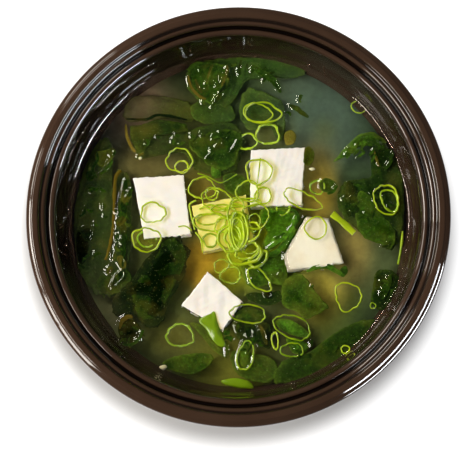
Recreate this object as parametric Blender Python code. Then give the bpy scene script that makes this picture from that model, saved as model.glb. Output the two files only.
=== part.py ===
"""Miso soup in its bowl: a turned bowl with a ridged rim, the soup as a solid up to
its level, five blocks of tofu, wakame leaves, loose spring onion rings and strips,
and one heap of onion rings in the middle.

All sizes below are in millimetres; the meshes are written in metres.
The origin is the middle of the foot, +Z is up.
"""

import math
from dataclasses import dataclass

import bmesh
import bpy

MM = 0.001
GAP = 0.3                  # clearance between solids that touch

# Bowl
RIM_RADIUS = 60.0
BOWL_HEIGHT = 62.0
WALL = 1.2
FOOT_RADIUS = 33.0
FOOT_HEIGHT = 2.0
FLOOR_HEIGHT = 4.0         # top of the inner floor
FLOOR_RADIUS = 33.0        # inner floor, where it starts to curve up
BOWL_STEPS = 44            # facets round the bowl and the soup

# Soup
SOUP_LEVEL = 48.5
SOUP_EDGE = 48.4           # inner radius of the bowl at the soup's level
FLOOR_BLEND = 6.0          # radius of the curve from the floor into the wall

# Rim, from the outside in: bead, shoulder, groove, inner ridge, stacking step
BEAD_RADIUS = 2.0
SKIRT_DEPTH = 3.5
SHOULDER_RADIUS = 55.3
GROOVE_RADIUS = 53.3
GROOVE_HEIGHT = 59.8
RIDGE_RADIUS = 52.0
RIDGE_HEIGHT = 61.2
STEP_HEIGHT = 52.5
STEP_RADIUS = 50.2
STEP_WIDTH = 0.9

# Tofu
TOFU_DEPTH = 13.0
TOFU_BEVEL = 0.5

# Garnish
RING_STEPS = 12            # facets round an onion ring
RING_WALL = 0.6
LEAF_THICKNESS = 0.9
SPAN_STEPS = 2             # stations between two points of a leaf's spine
CUT_TOP = 6.0              # how far pocket cutters reach above the soup


@dataclass(frozen=True)
class Finish:
    """Colour and surface of one material."""

    name: str
    colour: tuple
    roughness: float
    metallic: float = 0.0


@dataclass(frozen=True)
class Ring:
    """A closed loop of onion: an uneven oval band standing on its edge.

    low is the underside's height above the soup in the middle, fall its slope
    towards the compass direction toward, in degrees from +X.
    """

    name: str
    x: float
    y: float
    half_length: float
    half_width: float
    turn: float = 0.0
    low: float = -0.9
    height: float = 1.6
    fall: float = 0.0
    toward: float = 0.0
    lobe: float = 0.05


@dataclass(frozen=True)
class Ribbon:
    """A leaf or strip: a smooth spine of (x, y, half width, height above the soup).

    The height is that of the underside, and crown lifts the middle of the top.
    """

    name: str
    spine: tuple
    crown: float = 0.7
    across: int = 4
    thickness: float = LEAF_THICKNESS


@dataclass(frozen=True)
class Tofu:
    """A cut block: corners of its top counter-clockwise, its height above the soup
    at x = 0 of the block's middle, and the slope of the top along +X."""

    name: str
    corners: tuple
    proud: float
    rise: float = 0.0


PLASTIC = Finish("bowl_plastic", (0.045, 0.026, 0.018), 0.22)
BROTH = Finish("broth", (0.10, 0.095, 0.035), 0.12)
CURD = Finish("tofu_curd", (0.86, 0.80, 0.66), 0.45)
SEAWEED = Finish("wakame_leaf", (0.025, 0.06, 0.012), 0.25)
STALK = Finish("wakame_stalk", (0.22, 0.14, 0.02), 0.3)
ONION = Finish("spring_onion", (0.45, 0.50, 0.06), 0.3)

TOFU = (
    Tofu("tofu_1", ((-27.4, -5.4), (-13.9, -4.0), (-15.9, 13.4), (-30.8, 12.4)), 0.5),
    Tofu("tofu_2", ((-10.3, -9.3), (4.5, -6.1), (1.9, 7.5), (-13.9, 4.2)), 0.4),
    Tofu("tofu_3", ((3.2, 3.9), (18.0, 4.3), (19.2, 21.2), (3.3, 20.5)), 0.7),
    Tofu("tofu_4", ((14.0, -15.0), (30.2, -12.6), (25.6, 0.6), (19.3, 0.9),
                    (12.9, -10.4)), 0.9, -0.09),
    Tofu("tofu_5", ((-4.8, -31.9), (1.3, -23.5), (-8.9, -14.5), (-16.8, -24.6)), 0.5),
)

RINGS = (
    Ring("onion_ring_1", -17.2, 17.5, 4.0, 3.7),
    Ring("onion_ring_2", -25.1, 2.2, 3.9, 3.2, 0, 0.8, 1.1, lobe=0.08),
    Ring("onion_ring_3", -26.6, -5.5, 4.3, 3.5, 0, 0.9, 1.2, 0.33, -90),
    Ring("onion_ring_4", -10.6, 9.3, 4.2, 3.3, -8),
    Ring("onion_ring_5", 6.6, 31.4, 5.5, 3.2, -4, -1.0, 1.9),
    Ring("onion_ring_6", 5.5, 14.2, 4.0, 4.0, 0, 1.0, 1.5, lobe=0.07),
    Ring("onion_ring_7", 42.6, 5.8, 3.7, 4.7, 22, -1.0, 2.0, lobe=0.04),
    Ring("onion_ring_8", 18.0, 5.6, 6.2, 2.5, -22, 1.05, 1.1, 0.20, 0),
    Ring("onion_ring_9", 22.3, -2.6, 3.3, 3.4, 0, 1.2, 0.9, 0.09, 0),
    Ring("onion_ring_10", 31.1, -22.1, 4.0, 4.4, 12, -1.0, 1.7, lobe=0.07),
    Ring("onion_ring_11", 2.9, -27.2, 5.3, 2.8, -4, 0.6, 1.3, 0.165, 0),
    Ring("onion_ring_12", 15.4, -30.7, 5.9, 3.5, -22, -0.9, 1.7),
    Ring("onion_ring_13", 15.3, -37.5, 3.5, 2.1, 0, -1.1, 1.5),
    Ring("onion_ring_14", 5.7, -17.3, 4.6, 2.4, -48, -0.8, 1.5),
    Ring("onion_ring_15", 2.0, -39.3, 2.6, 4.7, -12, -1.2, 1.8),
)

LEAVES = (
    Ribbon("wakame_1", ((-9.3, 44.6, 3.4, -0.9), (-8.8, 42.0, 5.2, -0.7),
                        (-8.4, 38.0, 3.8, -0.5), (-7.9, 33.7, 0.8, -0.7)), 1.1),
    Ribbon("wakame_2", ((3.6, 45.4, 0.8, -0.6), (7.5, 42.8, 1.2, -0.5),
                        (10.5, 40.4, 1.3, -0.5), (12.2, 37.4, 0.6, -0.6)), 0.8),
    Ribbon("wakame_3", ((-31.5, 24.5, 3.4, -0.9), (-26.0, 24.5, 5.0, -0.7),
                        (-20.8, 25.3, 3.4, -0.8), (-17.2, 26.3, 1.4, -1.0)), 0.8),
    Ribbon("wakame_4", ((-13.0, 23.6, 2.4, -1.0), (-9.0, 21.6, 5.2, -0.8),
                        (-4.0, 20.6, 6.0, -0.8), (0.2, 19.6, 2.8, -0.9)), 1.0),
    Ribbon("wakame_5", ((-41.4, 19.6, 1.6, -0.6), (-39.2, 19.1, 2.5, -0.6),
                        (-36.7, 19.4, 1.5, -0.8)), 1.1),
    Ribbon("wakame_6", ((-32.7, 12.0, 0.9, -0.8), (-33.2, 6.0, 1.3, -0.6),
                        (-33.4, 0.0, 1.3, -0.6), (-33.2, -6.0, 1.2, -0.7),
                        (-33.5, -13.5, 0.8, -0.9)), 0.9),
    Ribbon("wakame_7", ((-18.0, -7.0, 2.6, -1.0), (-19.5, -12.0, 4.8, -0.9),
                        (-23.5, -19.0, 6.8, -0.9), (-26.3, -26.8, 2.6, -1.0)), 0.8),
    Ribbon("wakame_8", ((-32.6, -29.8, 1.2, -0.7), (-31.0, -32.4, 2.5, -0.6),
                        (-29.4, -34.4, 1.3, -0.7)), 1.2),
    Ribbon("wakame_9", ((-20.5, -41.2, 1.2, -0.9), (-15.0, -40.4, 2.8, -0.8),
                        (-10.6, -40.6, 2.2, -0.9), (-7.6, -41.4, 0.8, -1.0)), 0.7),
    Ribbon("wakame_10", ((9.2, -5.8, 0.8, -0.9), (10.3, -3.0, 1.8, -0.8),
                         (12.5, 0.2, 2.3, -0.7), (15.6, 2.1, 1.1, -0.8)), 0.7),
    Ribbon("wakame_11", ((8.4, -9.1, 0.7, -0.6), (11.0, -8.1, 1.0, -0.4),
                         (13.3, -5.8, 1.0, -0.3), (16.1, -2.5, 0.8, -0.4)), 0.9),
    Ribbon("wakame_12", ((13.3, -17.6, 1.6, -1.0), (17.2, -20.9, 4.0, -0.9),
                         (21.0, -23.6, 3.3, -0.9), (25.2, -25.6, 0.8, -1.0)), 0.6),
    Ribbon("wakame_13", ((2.7, -22.3, 0.7, -0.8), (6.5, -22.9, 1.3, -0.8),
                         (11.2, -22.5, 0.8, -0.9)), 0.7),
    Ribbon("wakame_14", ((31.5, 19.8, 0.7, -0.7), (35.0, 22.2, 1.5, -0.7),
                         (39.0, 20.9, 2.2, -0.7), (41.5, 17.4, 1.7, -0.8)), 0.9),
    Ribbon("wakame_15", ((23.8, 11.0, 1.2, -0.8), (25.6, 10.1, 1.9, -0.6),
                         (27.5, 9.8, 1.0, -0.7)), 0.9),
    Ribbon("wakame_16", ((31.8, 11.3, 0.9, -0.8), (31.6, 7.5, 1.6, -0.6),
                         (31.4, 3.5, 1.3, -0.6), (31.8, 0.9, 0.7, -0.8)), 0.9),
    Ribbon("wakame_17", ((36.3, 8.4, 1.5, -1.0), (36.0, 3.5, 2.2, -0.9),
                         (37.8, -1.5, 3.3, -0.9), (40.8, -4.6, 3.6, -0.8),
                         (43.2, -7.0, 1.4, -0.8)), 0.8),
    Ribbon("wakame_18", ((43.4, -16.8, 0.8, -0.6), (42.0, -19.9, 1.0, -0.5),
                         (40.7, -23.1, 0.7, -0.6)), 0.8),
    Ribbon("wakame_19", ((20.0, -16.1, 0.6, -0.7), (23.3, -15.2, 0.9, -0.5),
                         (27.3, -15.1, 1.0, -0.5), (30.2, -15.8, 0.8, -0.6)), 0.9),
)

STRIPS = (
    Ribbon("onion_strip_1", ((26.8, 1.8, 0.8, -0.2), (30.0, -0.9, 0.9, -0.4),
                             (33.1, -3.9, 0.9, -0.6)), 0.4),
    Ribbon("onion_strip_2", ((-8.2, -27.2, 1.7, 0.85), (-8.0, -30.4, 2.4, 0.85),
                             (-7.0, -33.4, 1.8, -0.1), (-6.2, -35.6, 1.0, -0.7)), 0.3),
    Ribbon("onion_chunk", ((-4.6, -46.2, 0.9, -0.9), (-0.5, -46.3, 1.2, -0.9),
                           (3.6, -46.2, 0.9, -0.9)), 0.5, 4, 1.8),
)

STALK_SPINE = ((-34.3, 14.8, 0.5, -0.6), (-35.8, 12.4, 0.55, -0.5),
               (-36.1, 5.0, 0.55, -0.5), (-36.4, -2.0, 0.55, -0.5),
               (-37.1, -6.5, 0.6, -0.6), (-38.5, -11.3, 0.5, -0.7))

# A strip of onion standing along the wall, from one bearing to another
WALL_STRIP_RADIUS = 47.6
WALL_STRIP_BEARINGS = (-16.0, -4.0)
WALL_STRIP_HEIGHT = 2.6
WALL_STRIP_LOW = -0.8

# Heap of onion rings in the middle
HEAP_OUTLINE = ((8.2, 1.0), (8.3, 8.2), (1.5, 9.3), (-5.2, 6.3), (-12.2, 0.6),
                (-10.4, -8.2), (-2.4, -12.8), (5.2, -9.6))
HEAP_CREST = (-0.6, -1.4)
HEAP_EDGE = 1.9            # height of its edge above the soup
HEAP_PEAK = 3.4            # height of its crest above the soup
HEAP_SUNK = 0.8            # how deep its skirt hangs in the soup
HEAP_UNEVEN = 0.35
HEAP_TIERS = (0.78, 0.45)  # where the rings of points lie between crest and outline


def clear_scene():
    """Remove every object that is already in the scene."""
    for old in list(bpy.data.objects):
        bpy.data.objects.remove(old, do_unlink=True)


def material(finish):
    """Return the material for a finish, made on first use."""
    found = bpy.data.materials.get(finish.name)
    if found:
        return found
    made = bpy.data.materials.new(finish.name)
    made.use_nodes = True
    shader = made.node_tree.nodes["Principled BSDF"]
    shader.inputs["Base Color"].default_value = (*finish.colour, 1.0)
    shader.inputs["Roughness"].default_value = finish.roughness
    shader.inputs["Metallic"].default_value = finish.metallic
    return made


def add_object(name, bm, finish=None, sharp=40.0):
    """Turn a bmesh drawn in millimetres into an object; without a finish, a cutter."""
    bmesh.ops.scale(bm, vec=(MM, MM, MM), verts=bm.verts)
    bmesh.ops.recalc_face_normals(bm, faces=bm.faces)
    mesh = bpy.data.meshes.new(name)
    bm.to_mesh(mesh)
    bm.free()
    thing = bpy.data.objects.new(name, mesh)
    bpy.context.scene.collection.objects.link(thing)
    if finish is None:
        thing.hide_render = True
        thing.display_type = "WIRE"
        return thing
    mesh.shade_smooth()
    mesh.set_sharp_from_angle(angle=math.radians(sharp))
    mesh.materials.append(material(finish))
    return thing


def arc(centre, radius, start, end, steps):
    """Points on an arc in the profile's plane, angles in degrees."""
    points = []
    for i in range(steps + 1):
        angle = math.radians(start + (end - start) * i / steps)
        points.append((centre[0] + radius * math.cos(angle),
                       centre[1] + radius * math.sin(angle)))
    return points


def turned(profile):
    """Spin a profile of (radius, height) once round Z into a closed body."""
    bm = bmesh.new()
    corners = [bm.verts.new((radius, 0.0, height)) for radius, height in profile]
    edges = [bm.edges.new(pair) for pair in zip(corners, corners[1:])]
    bmesh.ops.spin(bm, geom=corners + edges, cent=(0, 0, 0), axis=(0, 0, 1),
                   angle=math.tau, steps=BOWL_STEPS, use_merge=True)
    bmesh.ops.remove_doubles(bm, verts=bm.verts, dist=0.001)
    return bm


def wall_radius(height):
    """Inner radius of the bowl's plain wall at a height between floor and level."""
    foot_of_wall = FLOOR_HEIGHT + FLOOR_BLEND
    lean = (SOUP_EDGE - FLOOR_RADIUS - 2.2) / (SOUP_LEVEL - foot_of_wall)
    return SOUP_EDGE - lean * (SOUP_LEVEL - height)


def hollow_profile(inset):
    """The bowl's inside below the soup's level, moved in by inset, from top down."""
    low = FLOOR_HEIGHT + FLOOR_BLEND
    bottom = FLOOR_HEIGHT + inset
    start = wall_radius(low) - inset
    return [(SOUP_EDGE - inset, SOUP_LEVEL), (wall_radius(28.0) - inset, 28.0),
            (start, low), (start - 2.2, low - 3.8), (start - 7.0, bottom), (0.0, bottom)]


def make_bowl():
    """The bowl: inner profile from the rim down, then the outside from the foot up."""
    bead = arc((RIM_RADIUS - BEAD_RADIUS, BOWL_HEIGHT - BEAD_RADIUS), BEAD_RADIUS,
               0, 90, 3)
    inside = [
        *bead,
        (SHOULDER_RADIUS + 0.8, BOWL_HEIGHT - 0.25),
        (SHOULDER_RADIUS - 0.5, RIDGE_HEIGHT),
        (GROOVE_RADIUS + 0.8, GROOVE_HEIGHT + 0.3),
        (GROOVE_RADIUS - 0.3, GROOVE_HEIGHT),
        (RIDGE_RADIUS + 0.5, RIDGE_HEIGHT - 0.2),
        (RIDGE_RADIUS, RIDGE_HEIGHT),
        (RIDGE_RADIUS - 0.5, RIDGE_HEIGHT - 0.6),
        (STEP_RADIUS + 0.5, STEP_HEIGHT + 1.8),
        (STEP_RADIUS, STEP_HEIGHT + 0.3),
        (STEP_RADIUS - STEP_WIDTH, STEP_HEIGHT - 0.4),
        *hollow_profile(0.0),
    ]
    low = FLOOR_HEIGHT + FLOOR_BLEND
    outside = [
        (0.0, FOOT_HEIGHT),
        (FOOT_RADIUS - 3.0, FOOT_HEIGHT),
        (FOOT_RADIUS - 2.4, 0.0),
        (FOOT_RADIUS, 0.0),
        (FOOT_RADIUS + 1.6, FOOT_HEIGHT + 0.8),
        (wall_radius(low) + WALL - 1.2, low - 4.0),
        (wall_radius(low) + WALL + 0.1, low),
        (wall_radius(28.0) + WALL, 28.0),
        (SOUP_EDGE + WALL, SOUP_LEVEL),
        (STEP_RADIUS - STEP_WIDTH + WALL, STEP_HEIGHT - 0.8),
        (STEP_RADIUS + WALL, STEP_HEIGHT),
        (RIDGE_RADIUS + 0.6, GROOVE_HEIGHT - 1.3),
        (SHOULDER_RADIUS - 0.2, GROOVE_HEIGHT - 1.0),
        (SHOULDER_RADIUS + 1.4, BOWL_HEIGHT - 1.4),
        (RIM_RADIUS - 1.9, BOWL_HEIGHT - 1.3),
        (RIM_RADIUS - 1.0, BOWL_HEIGHT - SKIRT_DEPTH),
        (RIM_RADIUS - 0.2, BOWL_HEIGHT - SKIRT_DEPTH),
    ]
    profile = inside + outside
    bm = turned(profile + [profile[0]])
    return add_object("bowl", bm, PLASTIC, 32.0)


def curve_through(points, steps, closed=False):
    """A smooth curve through points of any dimension: a Catmull-Rom spline."""
    count = len(points)
    spans = count if closed else count - 1
    out = []
    for span in range(spans):
        if closed:
            four = [points[(span + k) % count] for k in (-1, 0, 1, 2)]
        else:
            four = [points[min(max(span + k, 0), count - 1)] for k in (-1, 0, 1, 2)]
        for i in range(steps):
            t = i / steps
            blend = (-0.5 * t + t ** 2 - 0.5 * t ** 3, 1 - 2.5 * t ** 2 + 1.5 * t ** 3,
                     0.5 * t + 2 * t ** 2 - 1.5 * t ** 3, -0.5 * t ** 2 + 0.5 * t ** 3)
            out.append([sum(w * p[axis] for w, p in zip(blend, four))
                        for axis in range(len(points[0]))])
    if not closed:
        out.append(list(points[-1]))
    return out


def lofted(stations, closed):
    """Join stations of equal point counts into one skin, with caps unless closed."""
    bm = bmesh.new()
    rows = [[bm.verts.new(point) for point in station] for station in stations]
    count = len(rows[0])
    last = len(rows) if closed else len(rows) - 1
    for i in range(last):
        row, following = rows[i], rows[(i + 1) % len(rows)]
        for j in range(count):
            k = (j + 1) % count
            bm.faces.new((row[j], row[k], following[k], following[j]))
    if not closed:
        bm.faces.new(rows[0])
        bm.faces.new(rows[-1])
    return bm


def ring_section(ring, step, grow):
    """The four corners of a ring's band at one step round it, grown by a margin."""
    def on_loop(angle):
        swell = 1.0 + ring.lobe * math.cos(3.0 * angle + ring.x)
        u = ring.half_length * swell * math.cos(angle)
        v = ring.half_width * swell * math.sin(angle)
        turn = math.radians(ring.turn)
        return (ring.x + u * math.cos(turn) - v * math.sin(turn),
                ring.y + u * math.sin(turn) + v * math.cos(turn))

    angle = math.tau * step / RING_STEPS
    x, y = on_loop(angle)
    before, after = on_loop(angle - 0.05), on_loop(angle + 0.05)
    along = (after[0] - before[0], after[1] - before[1])
    length = math.hypot(*along)
    out = (along[1] / length, -along[0] / length)
    heading = math.radians(ring.toward)
    drop = ring.fall * ((x - ring.x) * math.cos(heading) + (y - ring.y) * math.sin(heading))
    low = SOUP_LEVEL + ring.low - drop - grow
    high = low + ring.height if grow == 0 else SOUP_LEVEL + CUT_TOP
    outer = (x + out[0] * grow, y + out[1] * grow)
    inner = (x - out[0] * (RING_WALL + grow), y - out[1] * (RING_WALL + grow))
    return [(*outer, low), (*outer, high), (*inner, high), (*inner, low)]


def make_ring(ring, cutters):
    """One onion ring, and the cutter for its pocket where it dips into the soup."""
    body = lofted([ring_section(ring, i, 0.0) for i in range(RING_STEPS)], True)
    add_object(ring.name, body, ONION)
    lowest = min(p[2] for i in range(RING_STEPS) for p in ring_section(ring, i, GAP))
    if lowest < SOUP_LEVEL:
        pocket = lofted([ring_section(ring, i, GAP) for i in range(RING_STEPS)], True)
        cutters.append(add_object(ring.name + "_pocket", pocket))


def ribbon_sections(ribbon, grow):
    """Cross-sections of a leaf along its spine, grown by a margin for its pocket."""
    spine = curve_through(ribbon.spine, SPAN_STEPS)
    sections = []
    for i, (x, y, half, low) in enumerate(spine):
        before, after = spine[max(i - 1, 0)], spine[min(i + 1, len(spine) - 1)]
        along = (after[0] - before[0], after[1] - before[1])
        length = math.hypot(*along)
        along = (along[0] / length, along[1] / length)
        across = (-along[1], along[0])
        end = grow * ((i == len(spine) - 1) - (i == 0))
        middle = (x + along[0] * end, y + along[1] * end)
        wide = half + grow
        base = SOUP_LEVEL + low - grow
        if grow:
            levels = [(1, SOUP_LEVEL + CUT_TOP), (-1, SOUP_LEVEL + CUT_TOP)]
        else:
            levels = []
            for j in range(ribbon.across + 1):
                u = 1.0 - 2.0 * j / ribbon.across
                ripple = 0.25 * ribbon.crown * math.sin(1.9 * i + 4.0 * u)
                lift = (ribbon.crown + ripple) * (1.0 - u * u)
                levels.append((u, base + ribbon.thickness + lift))
        section = [(middle[0] + across[0] * wide * u, middle[1] + across[1] * wide * u, z)
                   for u, z in levels]
        section.append((middle[0] - across[0] * wide, middle[1] - across[1] * wide, base))
        section.append((middle[0] + across[0] * wide, middle[1] + across[1] * wide, base))
        sections.append(section)
    return sections


def make_ribbon(ribbon, finish, cutters):
    """One leaf or strip, and the cutter for its pocket where it dips in."""
    add_object(ribbon.name, lofted(ribbon_sections(ribbon, 0.0), False), finish, 60.0)
    if min(point[3] for point in ribbon.spine) - GAP < 0.0:
        pocket = lofted(ribbon_sections(ribbon, GAP), False)
        cutters.append(add_object(ribbon.name + "_pocket", pocket))


def make_wall_strip(cutters):
    """A narrow strip of onion that stands along the bowl's wall."""
    def sections(grow):
        start, end = WALL_STRIP_BEARINGS
        margin = math.degrees(grow / WALL_STRIP_RADIUS)
        low = SOUP_LEVEL + WALL_STRIP_LOW - grow
        high = SOUP_LEVEL + (CUT_TOP if grow else WALL_STRIP_LOW + WALL_STRIP_HEIGHT)
        inner = WALL_STRIP_RADIUS - RING_WALL - grow
        outer = WALL_STRIP_RADIUS + grow
        out = []
        for i in range(6):
            bearing = math.radians(start - margin + (end - start + 2 * margin) * i / 5)
            x, y = math.cos(bearing), math.sin(bearing)
            out.append([(outer * x, outer * y, low), (outer * x, outer * y, high),
                        (inner * x, inner * y, high), (inner * x, inner * y, low)])
        return out

    add_object("onion_strip_3", lofted(sections(0.0), False), ONION)
    cutters.append(add_object("onion_strip_3_pocket", lofted(sections(GAP), False)))


def grown_outline(corners, margin):
    """A convex counter-clockwise outline moved out by a margin, corner by corner."""
    out = []
    count = len(corners)
    for i in range(count):
        px, py = corners[i - 1]
        cx, cy = corners[i]
        nx, ny = corners[(i + 1) % count]
        first, second = math.hypot(cx - px, cy - py), math.hypot(nx - cx, ny - cy)
        n1 = ((cy - py) / first, -(cx - px) / first)
        n2 = ((ny - cy) / second, -(nx - cx) / second)
        scale = margin / (1.0 + n1[0] * n2[0] + n1[1] * n2[1])
        out.append((cx + (n1[0] + n2[0]) * scale, cy + (n1[1] + n2[1]) * scale))
    return out


def tofu_body(block, grow):
    """A block's closed mesh: its outline drawn down from its top, grown by a margin."""
    middle = sum(corner[0] for corner in block.corners) / len(block.corners)
    outline = grown_outline(block.corners, grow) if grow else block.corners
    low = SOUP_LEVEL - TOFU_DEPTH - grow
    stations = [[], []]
    for x, y in outline:
        stations[0].append((x, y, low))
        stations[1].append((x, y, SOUP_LEVEL + block.proud + block.rise * (x - middle) + grow))
    return lofted(stations, False)


def make_tofu(block, cutters):
    """One block of tofu with softened edges, and the cutter round it."""
    thing = add_object(block.name, tofu_body(block, 0.0), CURD, 50.0)
    bevel = thing.modifiers.new("softened_edges", "BEVEL")
    bevel.width = TOFU_BEVEL * MM
    bevel.segments = 1
    bevel.limit_method = "ANGLE"
    cutter = add_object(block.name + "_pocket", tofu_body(block, GAP))
    cutters.append(cutter)
    return cutter


def heap_body(grow):
    """The heap's closed mesh: tiers of points from its outline up to its crest."""
    outline = curve_through([(*p,) for p in HEAP_OUTLINE], 3, closed=True)
    crest_x, crest_y = HEAP_CREST
    bottom = SOUP_LEVEL - HEAP_SUNK - grow
    bm = bmesh.new()
    tiers = []
    for share in (1.0, 1.0, *HEAP_TIERS):
        tier = []
        for i, (x, y) in enumerate(outline):
            reach = math.hypot(x - crest_x, y - crest_y)
            stretch = share * (1.0 + grow / reach)
            bump = HEAP_UNEVEN * math.sin(2.3 * i) * (1.0 if share < 1.0 else 0.4)
            rise = (HEAP_PEAK - HEAP_EDGE) * (1.0 - share ** 2)
            height = CUT_TOP if grow else HEAP_EDGE + rise + bump
            z = SOUP_LEVEL + height if tiers else bottom
            tier.append(bm.verts.new((crest_x + (x - crest_x) * stretch,
                                      crest_y + (y - crest_y) * stretch, z)))
        tiers.append(tier)
        if grow and len(tiers) == 2:
            break
    count = len(outline)
    for lower, upper in zip(tiers, tiers[1:]):
        for i in range(count):
            k = (i + 1) % count
            bm.faces.new((lower[i], lower[k], upper[k], upper[i]))
    bm.faces.new(tiers[0])
    if grow:
        bm.faces.new(tiers[-1])
        return bm
    top = bm.verts.new((crest_x, crest_y, SOUP_LEVEL + HEAP_PEAK))
    for i in range(count):
        bm.faces.new((tiers[-1][i], tiers[-1][(i + 1) % count], top))
    return bm


def cut(thing, cutters):
    """Take each cutter away from a thing with its own Boolean."""
    for cutter in cutters:
        boolean = thing.modifiers.new(cutter.name, "BOOLEAN")
        boolean.operation = "DIFFERENCE"
        boolean.solver = "EXACT"
        boolean.object = cutter


def make_heap(below, cutters):
    """The heap of onion rings: one uneven mound cut round the tofu under it."""
    heap = add_object("onion_heap", heap_body(0.0), ONION, 60.0)
    cut(heap, below)
    cutters.append(add_object("onion_heap_pocket", heap_body(GAP)))


def make_soup(cutters):
    """The soup: the bowl's hollow up to the level, cut round all that floats in it."""
    profile = [(0.0, SOUP_LEVEL), *hollow_profile(GAP)]
    soup = add_object("soup", turned(profile), BROTH, 30.0)
    cut(soup, cutters)


def main():
    """Build every piece; the pockets are gathered on the way and cut last."""
    clear_scene()
    make_bowl()
    cutters = []
    blocks = [make_tofu(block, cutters) for block in TOFU]
    for ring in RINGS:
        make_ring(ring, cutters)
    for leaf in LEAVES:
        make_ribbon(leaf, SEAWEED, cutters)
    make_ribbon(Ribbon("wakame_stalk", STALK_SPINE, 0.4, 2), STALK, cutters)
    for strip in STRIPS:
        make_ribbon(strip, ONION, cutters)
    make_wall_strip(cutters)
    make_heap((blocks[1], blocks[2]), cutters)
    make_soup(cutters)


main()
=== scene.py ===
"""Miso soup in its bowl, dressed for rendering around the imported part.

Every piece is a closed surface worked out with numpy in millimetres and written in
metres, in the part's own frame: origin in the middle of the foot, +Z up. Positions on
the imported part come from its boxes; further toppings are set out on the soup's surface.
"""

import logging
import math
from dataclasses import dataclass, replace
from enum import Enum

import bpy
import numpy as np
from mathutils import Matrix, Vector


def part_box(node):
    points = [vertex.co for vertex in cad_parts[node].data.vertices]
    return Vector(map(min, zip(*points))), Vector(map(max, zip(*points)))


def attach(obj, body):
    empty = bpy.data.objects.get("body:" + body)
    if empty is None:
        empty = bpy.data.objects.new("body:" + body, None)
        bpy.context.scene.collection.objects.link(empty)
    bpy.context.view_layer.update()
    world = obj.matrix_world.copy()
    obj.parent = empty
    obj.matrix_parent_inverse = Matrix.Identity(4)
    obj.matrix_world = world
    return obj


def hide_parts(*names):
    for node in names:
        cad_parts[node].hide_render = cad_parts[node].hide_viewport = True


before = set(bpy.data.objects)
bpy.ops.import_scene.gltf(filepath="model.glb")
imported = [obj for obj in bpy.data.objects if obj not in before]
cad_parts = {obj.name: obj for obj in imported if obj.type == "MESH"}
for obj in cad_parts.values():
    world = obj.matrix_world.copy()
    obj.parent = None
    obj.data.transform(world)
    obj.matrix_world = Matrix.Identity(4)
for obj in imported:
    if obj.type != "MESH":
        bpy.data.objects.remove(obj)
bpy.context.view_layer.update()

MM = 0.001
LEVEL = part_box("soup")[1][2] / MM          # height of the soup's surface
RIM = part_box("bowl")[1][0] / MM            # radius of the bowl's rim
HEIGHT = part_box("bowl")[1][2] / MM         # height of the bowl
TURN = 2.0 * math.pi

log = logging.getLogger("miso_soup")

Colour = tuple[float, float, float]
Pair = tuple[float, float]
Line = tuple[float, ...]
Array = np.ndarray


class Slot(Enum):
    """The record's material slots."""

    BOWL = "bowl_plastic"
    BROTH = "broth"
    TOFU = "tofu"
    WAKAME = "wakame"
    STALK = "wakame_stalk"
    ONION = "spring_onion"


class Layer(Enum):
    """Colour layers that a mesh carries for its material."""

    BROTH = "broth_colour"
    FORM = "form"


# ---- shapes


def spline(points: Array, steps: int, closed: bool = False) -> Array:
    """A smooth curve through points: the Catmull-Rom blend of four neighbours.

    At a share t between the second and third of four points, the weights are
    -t/2 + t^2 - t^3/2, 1 - 5t^2/2 + 3t^3/2, t/2 + 2t^2 - 3t^3/2 and -t^2/2 + t^3/2.

    Args:
        points: the points, one row each, of any dimension.
        steps: points made between two given ones.
        closed: whether the last point joins the first.

    Returns:
        The curve's points, one row each.
    """
    points = np.asarray(points, dtype=float)
    count = len(points)
    spans = np.arange(count if closed else count - 1)
    index = spans[:, None] + np.array([-1, 0, 1, 2])[None, :]
    index = index % count if closed else np.clip(index, 0, count - 1)
    t = np.arange(steps) / steps
    weights = np.stack([-0.5 * t + t**2 - 0.5 * t**3, 1 - 2.5 * t**2 + 1.5 * t**3,
                        0.5 * t + 2 * t**2 - 1.5 * t**3, -0.5 * t**2 + 0.5 * t**3], 1)
    curve = np.einsum("tk,skd->std", weights, points[index])
    curve = curve.reshape(-1, points.shape[1])
    return curve if closed else np.vstack([curve, points[-1:]])


def rounded(profile: Array, rounds: int) -> Array:
    """A profile with its corners cut, each side replaced by its middle half, repeated.

    Args:
        profile: points of the profile, one row each.
        rounds: how many times the corners are cut.

    Returns:
        The rounded profile, with the same two end points.
    """
    for _ in range(rounds):
        first, second = profile[:-1], profile[1:]
        cut = np.stack([0.75 * first + 0.25 * second, 0.25 * first + 0.75 * second], 1)
        cut = cut.reshape(-1, profile.shape[1])
        profile = np.vstack([profile[:1], cut, profile[-1:]])
    return profile


def grid_faces(count: int, columns: int) -> Array:
    """The quads of a grid whose rows and columns both join up, by row and column."""
    index = np.arange(count * columns).reshape(count, columns)
    after = np.roll(index, -1, 0)
    return np.stack([index, after, np.roll(after, -1, 1), np.roll(index, -1, 1)], -1)


def headings(curve: Array, closed: bool) -> Array:
    """Unit directions along a curve in the plane, from each point's two neighbours.

    Args:
        curve: the curve's points, one row each.
        closed: whether its ends join.

    Returns:
        Directions (x, y), one row each.
    """
    if closed:
        along = np.roll(curve, -1, 0) - np.roll(curve, 1, 0)
    else:
        along = np.gradient(curve, axis=0)
    along = along[:, :2]
    return along / np.maximum(np.linalg.norm(along, axis=1, keepdims=True), 1e-9)


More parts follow.
